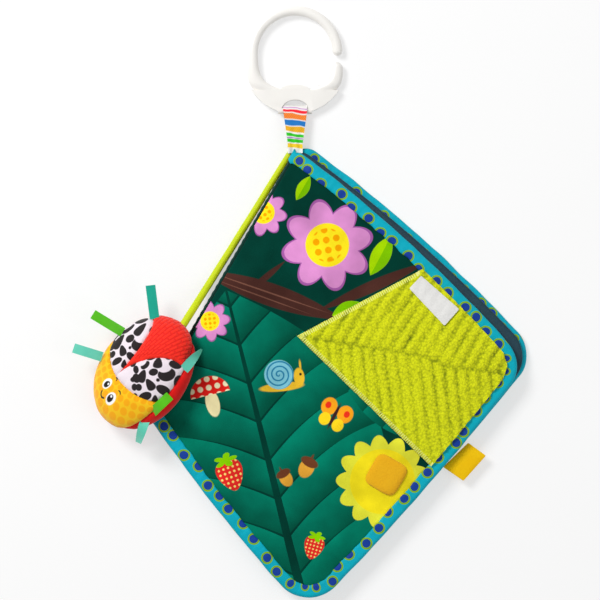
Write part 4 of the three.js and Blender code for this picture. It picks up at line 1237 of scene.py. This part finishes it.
def spin_rod():
    """The open ring: a circle of points spun about the ring's middle, each tip closed by shrinking loops."""
    gap_turn = (RING_GAP + 2 * ROD_RADIUS) / ring_radius
    start = GAP_ANGLE + gap_turn / 2
    place = ring_middle + Vector((math.cos(start), math.sin(start), 0)) * ring_radius
    bpy.ops.mesh.primitive_circle_add(
        vertices=28, radius=ROD_RADIUS, location=place, rotation=(math.pi / 2, 0, start)
    )
    rod = settle()
    bpy.ops.object.mode_set(mode="EDIT")
    bpy.ops.mesh.select_all(action="SELECT")
    bpy.ops.mesh.spin(steps=128, angle=gap_turn - 2 * math.pi, center=ring_middle, axis=(0, 0, 1))
    bpy.ops.object.mode_set(mode="OBJECT")
    mesh = bmesh.new()
    mesh.from_mesh(rod.data)
    tips = [(start, -1), (start - gap_turn, 1)]
    for angle, way in tips:
        middle = ring_middle + Vector((math.cos(angle), math.sin(angle), 0)) * ring_radius
        onward = Vector((-math.sin(angle), math.cos(angle), 0)) * way
        loop = [e for e in mesh.edges if e.is_boundary and (e.verts[0].co - middle).length < 1.2 * ROD_RADIUS]
        for k in range(1, 7):
            turn, before = math.pi / 2 * k / 7, math.pi / 2 * (k - 1) / 7
            made = bmesh.ops.extrude_edge_only(mesh, edges=loop)["geom"]
            moved = [g for g in made if isinstance(g, bmesh.types.BMVert)]
            loop = [g for g in made if isinstance(g, bmesh.types.BMEdge)]
            for v in moved:
                out = (v.co - middle - onward * (ROD_RADIUS * math.sin(before))) / math.cos(before)
                v.co = middle + onward * (ROD_RADIUS * math.sin(turn)) + out * math.cos(turn)
        bmesh.ops.contextual_create(mesh, geom=loop)
    for v in mesh.verts:
        below = max(0, ring_middle.y - v.co.y) / FOOT_EDGE_DEPTH
        v.co.x = ring_middle.x + (v.co.x - ring_middle.x) * (1 + FLARE * min(1, below) ** 2)
        sunk = ease((FOOT_EDGE_DEPTH - 4 * MM - (ring_middle.y - v.co.y)) / (-6 * MM))
        v.co.z = ring_middle.z + (v.co.z - ring_middle.z) * (1 - ROD_SUNK * float(sunk))
    mesh.to_mesh(rod.data)
    mesh.free()
    face_out(rod)
    return rod


def plate(radius, depth, place, high=1.0):
    """A thin cylinder; high narrows it to an ellipse."""
    bpy.ops.mesh.primitive_cylinder_add(
        vertices=128, radius=radius, depth=depth, location=place, scale=(1, high, 1)
    )
    return settle()


def combine(piece, other, operation):
    apply_modifier(piece, "BOOLEAN", object=other, operation=operation, solver="EXACT")
    bpy.data.objects.remove(other)


foot_arc_middle = Vector((ring_middle.x, bar_place.y - BAR_RADIUS + FOOT_ARC_RADIUS, ring_middle.z))
ring_foot = plate(FOOT_ARC_RADIUS, FOOT_THICKNESS, foot_arc_middle)
bpy.ops.object.mode_set(mode="EDIT")
bpy.ops.mesh.select_all(action="SELECT")
foot_edge = (ring_middle.x, ring_middle.y - FOOT_EDGE_DEPTH, ring_middle.z)
bpy.ops.mesh.bisect(plane_co=foot_edge, plane_no=(0, 1, 0), use_fill=True, clear_outer=True)
bpy.ops.object.mode_set(mode="OBJECT")
hump = plate(HUMP_WIDTH / 2, FOOT_THICKNESS, foot_edge, high=2 * HUMP_RISE / HUMP_WIDTH)
combine(ring_foot, hump, "UNION")
slot_place = Vector((bar_place.x, bar_place.y + 0.2 * MM, bar_place.z))
slot_cut = plate(SLOT_WIDTH / 2, 3 * FOOT_THICKNESS, slot_place, high=2 * SLOT_HEIGHT / SLOT_WIDTH)
combine(ring_foot, slot_cut, "DIFFERENCE")
apply_modifier(
    ring_foot, "BEVEL", width=FOOT_BEVEL, segments=4, limit_method="ANGLE", angle_limit=math.radians(50)
)
ring = spin_rod()
combine(ring, ring_foot, "UNION")
bpy.ops.mesh.primitive_cylinder_add(
    vertices=32, radius=BAR_RADIUS, depth=SLOT_WIDTH + 2 * BAR_RADIUS, location=bar_place,
    rotation=(0, math.pi / 2, 0),
)
combine(ring, settle(), "UNION")
ring.name = "split_hanging_ring"
face_out(ring)
smooth(ring, 50)

ring_plastic, tree = new_material("glossy_white_plastic")
object_place = on_object(tree)
moulding = add(tree, "ShaderNodeTexNoise", {"Vector": object_place, "Scale": 1 / (5 * MM), "Detail": 2.0})
bump = bumped(tree, moulding.outputs["Fac"], 0.06 * MM, 0.3)
white = mottled(tree, object_place, "#FBF9F5", "#F6F3ED", 15 * MM)
shaded(tree, white, bump, 0.28, 0.0, specular=0.5)
finish_piece(ring, ring_plastic, "ring", "ring_plastic", "hanging_ring")

# %% [markdown]
# The strap is one striped ribbon, folded round the ring's bar. Both plies narrow towards the corner, where
# they are gathered into the seam, so folds run down the ribbon and grow deeper there.

# %% Strap
strap_place = Vector(joints["strap_lift"]["pos_m"])
STRAP_TOP_WIDTH = 14 * MM
STRAP_END_WIDTH = 8.7 * MM
STRAP_PLY = 0.7 * MM
STRAP_END_THICKNESS = 2 * MM
STRAP_TUCK = 6 * MM
STRAP_FOLD = 0.32 * MM
RIBBON_ACROSS = 28
LOOP_RADIUS = BAR_RADIUS + 0.35 * MM + STRAP_PLY / 2
strap_length = bar_place.y - strap_place.y


def strap_path():
    """The ribbon's middle from its lower end round the bar to its upper end, as (toward the ring, up)."""
    low = strap_place.z - bar_place.z - STRAP_END_THICKNESS / 2 + STRAP_PLY / 2
    high = strap_place.z - bar_place.z + STRAP_END_THICKNESS / 2 - STRAP_PLY / 2
    end = strap_length + STRAP_TUCK
    lower = [Vector((-end * (1 - t), low * (1 - t) - LOOP_RADIUS * t)) for t in np.linspace(0, 1, 24)]
    turns = np.linspace(-math.pi / 2, math.pi / 2, 18)[1:-1]
    bend = [Vector((math.cos(t), math.sin(t))) * LOOP_RADIUS for t in turns]
    upper = [Vector((-end * t, high * t + LOOP_RADIUS * (1 - t))) for t in np.linspace(0, 1, 24)]
    return lower + bend + upper


def ribbon(name, path, width_at, ply, place_at, folds):
    """A closed ribbon along a path of (forward, up); folds gives its lengthwise folds' height."""
    points, uvs = [], []
    run = 0
    shares = [2 * i / RIBBON_ACROSS - 1 for i in range(RIBBON_ACROSS + 1)]
    for k, p in enumerate(path):
        ahead = (path[min(k + 1, len(path) - 1)] - path[max(k - 1, 0)]).normalized()
        out = Vector((ahead.y, -ahead.x))
        run += (p - path[k - 1]).length if k else 0
        half = width_at(p) / 2
        for side, row in ((1, shares), (-1, shares[::-1])):
            points += [place_at(share * half, p + out * (side * ply / 2 + folds(share, p))) for share in row]
            uvs += [(share * half / MM, run / MM) for share in row]
    return strip_piece(name, points, uvs, 2 * len(shares))


def strap_share(p):
    return min(1, max(0, -p.x / strap_length))


def strap_folds(share, p):
    gathered = strap_share(p) ** 1.5
    return STRAP_FOLD * gathered * math.sin(6.5 * share + 1.3 * math.sin(9 * strap_share(p)))


strap = ribbon(
    "striped_ribbon_strap",
    strap_path(),
    lambda p: STRAP_TOP_WIDTH + (STRAP_END_WIDTH - STRAP_TOP_WIDTH) * strap_share(p),
    STRAP_PLY,
    lambda side, q: Vector((bar_place.x + side, bar_place.y + q.x, bar_place.z + q.y)),
    strap_folds,
)
striped_ribbon, tree = new_material("striped_ribbon")
stripes = Print(tree, colour("#F4F2EE"))
side, up_strap = add(tree, "ShaderNodeSeparateXYZ", {"Vector": stripes.place}).outputs[:2]
waver = add(tree, "ShaderNodeTexNoise", {"Vector": stripes.place, "Scale": 0.16, "Detail": 1.0}).outputs["Fac"]
askew = stripes.do("MULTIPLY_ADD", side, 0.1, up_strap)
down = stripes.do("MULTIPLY_ADD", waver, 1.6, stripes.do("ADD", askew, -0.6))


def band(low, high):
    """1 between two places up the strap, in millimetres."""
    above = stripes.under(stripes.do("MULTIPLY", down, -1), -low)
    return stripes.do("MULTIPLY", stripes.under(down, high), above)


hatch = stripes.under(stripes.do("PINGPONG", stripes.do("MULTIPLY_ADD", side, 1.3, down), 0.75), 0.38)
STRIPES = (
    (112.5, 113.0, "#C77AD0"), (110.0, 111.6, "#FF1430"), (106.2, 109.3, "#FF9A3C"),
    (102.4, 105.6, "#1478C8"), (99.0, 101.9, "#F3BC1C"), (96.0, 97.9, "#28C814"),
    (94.9, 95.5, "#A070C0"), (92.6, 94.6, "#28C814"), (89.4, 91.9, "#F5CC1E"),
)
for low, high, code in STRIPES:
    stripes.lay(band(low, high), code)
stripes.lay_within(band(106.2, 109.3), hatch, "#F26A10")
stripes.lay_within(band(99.0, 101.9), hatch, "#E8A200")
threads = {"Vector": on_cloth(tree), "Scale": 0.5, "Distortion": 0.4}
weft = add(tree, "ShaderNodeTexWave", threads, bands_direction="Y")
shaded(tree, stripes.ink, bumped(tree, weft.outputs["Fac"], 0.1 * MM, 0.6), 0.6, 0.15)
finish_piece(strap, striped_ribbon, "strap", "striped_ribbon", "strap_loop")

# %% Tether end
end_low, end_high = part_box("tether_end")
end_middle = (end_low + end_high) / 2
end_radius = (end_high.x - end_low.x) / 2
end_line = [Vector((end_middle.x, end_middle.y, z)) for z in np.linspace(end_low.z, end_high.z, 14)]
tether_end = tube(
    "stitched_tether_end", end_line, end_radius, 20,
    lambda run: 0.9 + 0.1 * math.sin(2 * math.pi * run / (1.3 * MM)),
)
finish_piece(tether_end, tether_cloth, "tether_end", "tether_cord", "tether_end")

# %% [markdown]
# ## Ladybug
#
# The toy is a plump stuffed body of five cloths: a yellow head with a printed face, two printed wings, a red
# rippled back and a soft red belly. Each cloth is the part of the body's skin between its seams. A seam lies
# where a plane cuts the body, so it is a smooth curve. The stuffing pushes each cloth out, so its skin is low
# at a seam and rounds up within a few millimetres, with small puckers that the thread gathers.

# %% Ladybug body
BUG_MIDDLE = book(0.8888 * SPINE_LENGTH, -11.3 * MM, 13.8 * MM)
BUG_LEAN = math.radians(19)
BUG_TURN = math.radians(-21.2)
BUG_HALF_LENGTH = 31 * MM
BUG_HALF_WIDTH = 29 * MM
BUG_CROWN = 17 * MM
BUG_BELLY = 9 * MM
BUG_LONG_WAY = math.radians(57.8)
BUG_LONGER = 1.17
BUG_NARROWER = 0.93
SEAM_DEPTH = 1.7 * MM
PUFF_WIDTH = 5 * MM
PANEL_THICKNESS = 0.9 * MM
PANEL_PUCKER = 0.7 * MM
PANEL_LUMP = 0.35 * MM
STUFFING_GAP = 0.6 * MM
spine_turn = math.atan2(spine_way.y, spine_way.x)
bug_frame = (
    Matrix.Rotation(spine_turn, 3, "Z") @ Matrix.Rotation(BUG_LEAN, 3, "X") @ Matrix.Rotation(BUG_TURN, 3, "Z")
)
long_frame = Matrix.Rotation(BUG_LONG_WAY, 3, "Z")
bug_stretch = long_frame @ Matrix.Diagonal((BUG_LONGER, BUG_NARROWER, 1)) @ long_frame.transposed()


def bug_skin(way, drawn_in=0):
    """A point of the body's skin, from its middle, for a direction in the body's own frame."""
    high = BUG_CROWN if way.z > 0 else BUG_BELLY
    own = Vector((way.x * (BUG_HALF_LENGTH - drawn_in), way.y * (BUG_HALF_WIDTH - drawn_in),
                  way.z * (high - drawn_in)))
    return bug_stretch @ (bug_frame @ own)


def seam(azimuth, elevation, distance):
    """A seam's plane: the direction it faces, and how far from the body's middle it lies."""
    a, e = math.radians(azimuth), math.radians(elevation)
    return Vector((math.cos(a) * math.cos(e), math.sin(a) * math.cos(e), math.sin(e))), distance


HEAD_SEAM = seam(-110, -48.7, -3.8 * MM)
LEFT_SEAM = seam(141.6, 22.4, 15.4 * MM)
RIGHT_SEAM = seam(-94.7, 63.9, 11.2 * MM)
BELLY_SEAM = seam(-37, -34.3, 7 * MM)
UNDER_SEAM = seam(-30, -71, 1.5 * MM)
SEAMS = (HEAD_SEAM, LEFT_SEAM, RIGHT_SEAM, BELLY_SEAM, UNDER_SEAM)


def beyond(p, plane):
    normal, distance = plane
    return p.dot(normal) > distance


def panel_at(p):
    """Which cloth covers this place of the body's skin."""
    if beyond(p, BELLY_SEAM) or beyond(p, UNDER_SEAM):
        return "belly"
    if beyond(p, HEAD_SEAM):
        return "head"
    if beyond(p, LEFT_SEAM):
        return "left"
    return "right" if beyond(p, RIGHT_SEAM) else "back"


def points_and_faces(mesh):
    return [v.co for v in mesh.verts], [[v.index for v in f.verts] for f in mesh.faces]


def skin_sphere(around, down, drawn_in=0):
    mesh = bmesh.new()
    bmesh.ops.create_uvsphere(mesh, u_segments=around, v_segments=down, radius=1)
    for v in mesh.verts:
        v.co = bug_skin(v.co, drawn_in)
    return mesh


def bug_panel(name, panel, middle, up, seed):
    """One cloth of the body: the part of its skin between the seams. Its UV map is flat round middle."""
    mesh = skin_sphere(168, 96)
    for normal, distance in SEAMS:
        everything = mesh.verts[:] + mesh.edges[:] + mesh.faces[:]
        bmesh.ops.bisect_plane(mesh, geom=everything, plane_co=normal * distance, plane_no=normal, dist=1e-6)
    others = [f for f in mesh.faces if panel_at(f.calc_center_median()) != panel]
    bmesh.ops.delete(mesh, geom=others, context="FACES")
    bmesh.ops.remove_doubles(mesh, verts=mesh.verts, dist=0.3 * MM)
    mesh.normal_update()
    rim = [e for e in mesh.edges if e.is_boundary]
    tree = kdtree.KDTree(len(rim) * 3)
    for k, e in enumerate(rim):
        for j, t in enumerate((0, 1 / 3, 2 / 3)):
            tree.insert(e.verts[0].co.lerp(e.verts[1].co, t), 3 * k + j)
    tree.balance()
    gaps = [tree.find(v.co) for v in mesh.verts]
    moves = []
    for v, (near, _, gap) in zip(mesh.verts, gaps):
        t = min(1, gap / PUFF_WIDTH)
        sunk = -SEAM_DEPTH * (1 - math.sqrt(1 - (1 - t) ** 2))
        fade = math.exp(-gap / (2.6 * MM)) * min(1, gap / (0.8 * MM))
        wave = noise.noise(near / (3.2 * MM) + Vector((seed, 0, 0))) * fade
        soft = noise.noise(v.co / (12 * MM) + Vector((0, seed, 0))) * t
        moves.append(v.normal * (sunk + PANEL_PUCKER * wave + PANEL_LUMP * soft))
    flat_middle = middle.normalized()
    right = up.cross(flat_middle).normalized()
    ahead = flat_middle.cross(right)
    size = (BUG_HALF_LENGTH + BUG_HALF_WIDTH) / 2
    uvs = []
    for v in mesh.verts:
        way = v.co.normalized()
        side = Vector((way.dot(right), way.dot(ahead)))
        side = side.normalized() if side.length > 1e-6 else side
        uvs.append(tuple(side * (way.angle(flat_middle) * size / MM)))
    for v, move in zip(mesh.verts, moves):
        v.co = v.co + move + BUG_MIDDLE
    mesh.verts.ensure_lookup_table()
    made = mesh_piece(name, *points_and_faces(mesh), uvs)
    depth = made.data.attributes.new("from_seam", "FLOAT", "POINT")
    depth.data.foreach_set("value", [gap / MM for _, _, gap in gaps])
    mesh.free()
    apply_modifier(made, "SOLIDIFY", thickness=PANEL_THICKNESS, offset=-1)
    smooth(made, 70)
    return made


HEAD_UP = Vector((0.85, 0.5, 0.3))
UP = Vector((0, 1, 0))
bug_head = bug_panel("ladybug_yellow_head", "head", Vector((-20.5, -10.5, 10)), HEAD_UP, 1)
bug_left = bug_panel("ladybug_left_wing", "left", Vector((-12, 18, 12)), UP, 2)
bug_right = bug_panel("ladybug_right_wing", "right", Vector((6, -4, 18)), UP, 3)
bug_back = bug_panel("ladybug_rippled_back", "back", Vector((12, 16, 14)), UP, 4)
bug_belly = bug_panel("ladybug_red_belly", "belly", Vector((8, -6, -12)), UP, 5)
bug_fill = skin_sphere(64, 32, SEAM_DEPTH + PANEL_THICKNESS + STUFFING_GAP)
bmesh.ops.translate(bug_fill, verts=bug_fill.verts, vec=BUG_MIDDLE)
bug_stuffing = mesh_piece("ladybug_stuffing_body", *points_and_faces(bug_fill))
bug_fill.free()
smooth(bug_stuffing)
print("ladybug panels:", [len(p.data.polygons) for p in (bug_head, bug_left, bug_right, bug_back, bug_belly)])

# %% [markdown]
# The head is printed with darker spots in rows and a plain friendly face. The wings have dark ovals, drops and
# half moons. The red back is a rippled plush: short raised welts in staggered rows, which flatten at a seam.

# %% Ladybug cloths
def jersey_bump(tree, place, extra=None):
    return pile_bump(tree, place, 0.5 * MM, 0.14 * MM, extra)


yellow_plush, tree = new_material("yellow_plush")
object_place = on_object(tree)
face = Print(tree, mottled(tree, object_place, "#FFCC1A", "#FFC40C", 8 * MM), on_cloth(tree))
u, v = face.at(0, 0, 1, 20)
face.lay(face.dotted(u, v, 5.6, 2.3), "#FFB000")


def arc(u, v, width, cut):
    """A line round a circle of radius 1, kept where cut is."""
    line = face.under(face.do("ABSOLUTE", face.do("ADD", face.radius(u, v), -1)), width)
    face.lay_within(line, cut, "#2A211E")


for way in (-1, 1):
    u, v = face.at(5.3 * way, 0.3, 3.4)
    face.spots(
        u, v, (0, 0, 1, 1.2, "#FFFFFF"), (-0.12 * way, -0.1, 0.62, 0.78, "#1B1716"),
        (-0.25 * way, 0.25, 0.22, 0.22, "#FFFFFF"),
    )
    u, v = face.at(5.8 * way, 6.2, 1.9)
    arc(u, v, 0.24, face.under(face.do("MULTIPLY", v, -1), -0.55))
u, v = face.at(0, -3.4, 2.4)
arc(u, v, 0.2, face.under(v, -0.25))
shaded(tree, face.ink, jersey_bump(tree, object_place), 0.85, 0.3)
finish_piece(bug_head, yellow_plush, "ladybug", "yellow_plush", "ladybug_head")

wing_print, tree = new_material("wing_print")
object_place = on_object(tree)
wing = Print(tree, mottled(tree, object_place, "#F4E9F0", "#EADDE7", 8 * MM), on_cloth(tree))
# Each mark: place, half width and half height in millimetres, turn, and its kind.
WING_MARKS = (
    (-9, 3, 3.4, 5.0, -20, "drop"), (0, 6.5, 3.0, 2.4, 15, "oval"), (8.5, 4.5, 4.6, 3.9, 10, "moon"),
    (-2.5, -3.0, 2.9, 3.9, 35, "drop"), (6.5, -6, 4.1, 2.6, -25, "oval"), (-11, -6.5, 2.3, 2.3, 0, "oval"),
    (-5.5, -12, 4.3, 2.4, 30, "oval"), (16.5, -1.5, 3.0, 4.4, 15, "oval"), (1.5, -13.5, 2.2, 3.2, 0, "drop"),
    (-6.5, 12.5, 3.9, 2.4, 40, "moon"), (3.5, 13.5, 2.9, 3.6, -10, "drop"), (14, 10.5, 3.4, 2.2, -30, "oval"),
    (-15, 8.5, 2.3, 3.4, 10, "oval"), (-16.5, 0, 2.0, 2.9, -25, "drop"), (3.2, 0.6, 1.1, 1.1, 0, "oval"),
    (-14, 0.6, 2.9, 3.6, 25, "oval"), (-14.6, -7, 2.0, 2.4, 10, "oval"),
    (12.5, -11, 3.1, 3.5, 0, "moon"), (-1.2, 19, 3.6, 2.2, 10, "oval"), (-13, -13, 1.5, 1.5, 0, "oval"),
    (-19, 15, 3.0, 3.6, 0, "moon"), (10.5, 18, 2.3, 3.1, 25, "drop"),
)
for x, y, wide, high, turn, kind in WING_MARKS:
    u, v = wing.at(1.12 * x, 1.12 * y, 1.32 * high, turn)
    slim = wing.do("MULTIPLY", u, high / wide)
    if kind == "drop":
        slim = wing.do("MULTIPLY", slim, wing.do("MULTIPLY_ADD", v, 0.5, 1.15))
    mark = wing.under(wing.radius(slim, v), 1, wide / high)
    if kind == "moon":
        bite = wing.under(wing.radius(slim, v, 0.0, 0.95, 0.75, 0.6), 1, 0.6)
        mark = wing.do("MULTIPLY", mark, wing.do("SUBTRACT", 1, bite))
    wing.lay(mark, "#241D1F")
shaded(tree, wing.ink, jersey_bump(tree, object_place), 0.85, 0.25)
for wing_piece, way in ((bug_left, "left"), (bug_right, "right")):
    finish_piece(wing_piece, wing_print, "ladybug", "wing_print", "ladybug_wing_" + way)

ripple_plush, tree = new_material("ripple_plush")
object_place = on_object(tree)
askew = add(tree, "ShaderNodeMapping", {"Vector": on_cloth(tree), "Rotation": (0, 0, math.radians(-12))})
rows = {"Vector": askew.outputs[0], "Scale": 1.0, "Mortar Size": 0.8, "Mortar Smooth": 1.0,
        "Brick Width": 5.2, "Row Height": 2.3}
welts = add(tree, "ShaderNodeTexBrick", rows)
inside = ranged(tree, kept(tree, "from_seam"), 1.2, 2.2)
groove = maths(tree, "MULTIPLY", welts.outputs["Fac"], inside)
sunk = maths(tree, "MULTIPLY", groove, -1.4)
# Painted shade: the welts' grooves are painted a darker red than the welts, besides the bump that sinks them.
base = blended(tree, groove, colour("#FF2C18"), colour("#F0180C"))
shaded(tree, base, pile_bump(tree, object_place, 0.5 * MM, 0.28 * MM, sunk), 0.8, 0.3)
finish_piece(bug_back, ripple_plush, "ladybug", "ripple_plush", "ladybug_back")

belly_plush = pile_material("belly_plush", "#EE1410", "#DC0808", grain=0.5 * MM, height=0.14 * MM, sheen=0.3)
finish_piece(bug_belly, belly_plush, "ladybug", "belly_plush", "ladybug_belly")
fibre_stuffing = pile_material("fibre_stuffing", "#F4F2EE", "#E6E4DF", grain=1.5 * MM, height=0.6 * MM)
finish_piece(bug_stuffing, fibre_stuffing, "ladybug", "fibre_stuffing", "ladybug_stuffing")

# %% [markdown]
# Six tabs of satin ribbon stick out of the seams as legs. Each is a folded ribbon that bows a little, and the
# ones on the right are bent over or curled.

# %% Ribbon legs
LEG_WIDTH = 5.6 * MM
LEG_PLY = 0.7 * MM
# Each leg: its CAD node, place of its root and tip from the body's middle in mm, tip's height over the root,
# bow, twist in degrees at the tip, and colours.
LEGS = (
    ("left_rear", (6.0, 31.0), (3.8, 50.3), 1.5, 4, 1.0, 0, "teal_satin"),
    ("left_middle", (-12.5, 23.2), (-29.4, 33.7), 1.0, 4, 1.5, 0, "green_satin"),
    ("left_front", (-24.5, 9.0), (-40.6, 14.2), 0.5, 4, 1.5, 12, "mint_satin"),
    ("right_rear", (23.6, 2.0), (33.6, 13.6), 13.5, 1.0, 2.5, 78, "mint_satin"),
    ("right_middle", (15.5, -13.0), (5.5, -22.5), 16.3, -4.0, 3.0, 0, "green_satin"),
    ("right_front", (1.5, -26.0), (-3.5, -40.5), 9.0, -9.0, 2.0, 50, "mint_satin"),
)
LEG_COLOURS = {
    "teal_satin": ("#0ABBA0", "#06A38C"),
    "green_satin": ("#62D200", "#48B800"),
    "mint_satin": ("#74E0C6", "#4FC9AE"),
}
leg_satins = {
    name: woven_material(name, plain(*codes), thread=0.3 * MM, height=0.03 * MM, roughness=0.36, specular=0.5)
    for name, codes in LEG_COLOURS.items()
}
for name, root, tip, root_height, rise, bow, twist, satin in LEGS:
    start = BUG_MIDDLE + Vector((root[0], root[1], root_height)) * MM
    reach = (Vector(tip) - Vector(root)) * MM
    way = Vector((reach.x, reach.y, 0)).normalized()
    beside = Vector((-way.y, way.x, 0))
    shares = np.linspace(0, 1, 22)
    path = [Vector((reach.length * t, (rise * t * t + bow * math.sin(math.pi * t)) * MM)) for t in shares]

    def leg_place(side, q):
        turned = math.radians(twist) * max(0, q.x / reach.length) ** 1.5
        across = beside * math.cos(turned) + Vector((0, 0, math.sin(turned)))
        return start + way * q.x + Vector((0, 0, q.y)) + across * side

    leg = ribbon("satin_leg_" + name, path, lambda p: LEG_WIDTH, LEG_PLY, leg_place, lambda share, p: 0)
    finish_piece(leg, leg_satins[satin], "ladybug", satin, "ribbon_leg_" + name)

# %% [markdown]
# ## Floor, light and sky
#
# The picture has a plain white background. The floor is white where the camera sees it and keeps the soft
# shadow, and broad lamps above give the even light of a product table.

# %% Floor and light
bpy.ops.mesh.primitive_plane_add(size=3, location=(0, 0, 0))
floor = bpy.context.object
floor.name = "studio_floor"
paper, tree = new_material("white_paper")
# Near the book 45 % of the lamps' shading stays on the floor; farther than 0.8 m the floor is plain white.
SHADOW_KEPT = 0.45
lit = add(tree, "ShaderNodeBsdfDiffuse", {"Color": colour("#FFFFFF")})
plain_white = add(tree, "ShaderNodeEmission", {"Color": colour("#FFFFFF"), "Strength": 1.0})
seen = add(tree, "ShaderNodeLightPath").outputs["Is Camera Ray"]
place = on_object(tree)
far = add(tree, "ShaderNodeVectorMath", {0: place}, operation="LENGTH").outputs["Value"]
plain_share = ranged(tree, far, 0.3, 0.8, 1 - SHADOW_KEPT, 1.0)
whitened = maths(tree, "MULTIPLY", seen, plain_share)
paper_mix = add(tree, "ShaderNodeMixShader", {0: whitened, 1: lit.outputs[0], 2: plain_white.outputs[0]})
add(tree, "ShaderNodeOutputMaterial", {"Surface": paper_mix.outputs[0]})
floor.data.materials.append(paper)
world = bpy.data.worlds.new("studio")
scene.world = world
world.use_nodes = True
world.node_tree.nodes.clear()
seen = add(world.node_tree, "ShaderNodeLightPath").outputs["Is Camera Ray"]
sky = add(world.node_tree, "ShaderNodeBackground", {"Color": colour("#FFFFFF"), "Strength": 0.38})
backdrop = add(world.node_tree, "ShaderNodeBackground", {"Color": colour("#FFFFFF"), "Strength": 1.0})
both = add(world.node_tree, "ShaderNodeMixShader", {0: seen, 1: sky.outputs[0], 2: backdrop.outputs[0]})
add(world.node_tree, "ShaderNodeOutputWorld", {"Surface": both.outputs[0]})


def lamp(name, place, size, power):
    """A square lamp that looks at the book's middle."""
    bpy.ops.object.light_add(type="AREA", location=place)
    made = bpy.context.object
    made.name = name
    made.data.size = size
    made.data.energy = power
    made.rotation_euler = (-Vector(place)).to_track_quat("-Z", "Y").to_euler()


lamp("key_lamp", (-0.7, 0.7, 1.0), 0.45, 13.5)
lamp("fill_lamp", (0.9, -0.4, 1.0), 0.9, 3.0)
scene.view_settings.view_transform = "Standard"
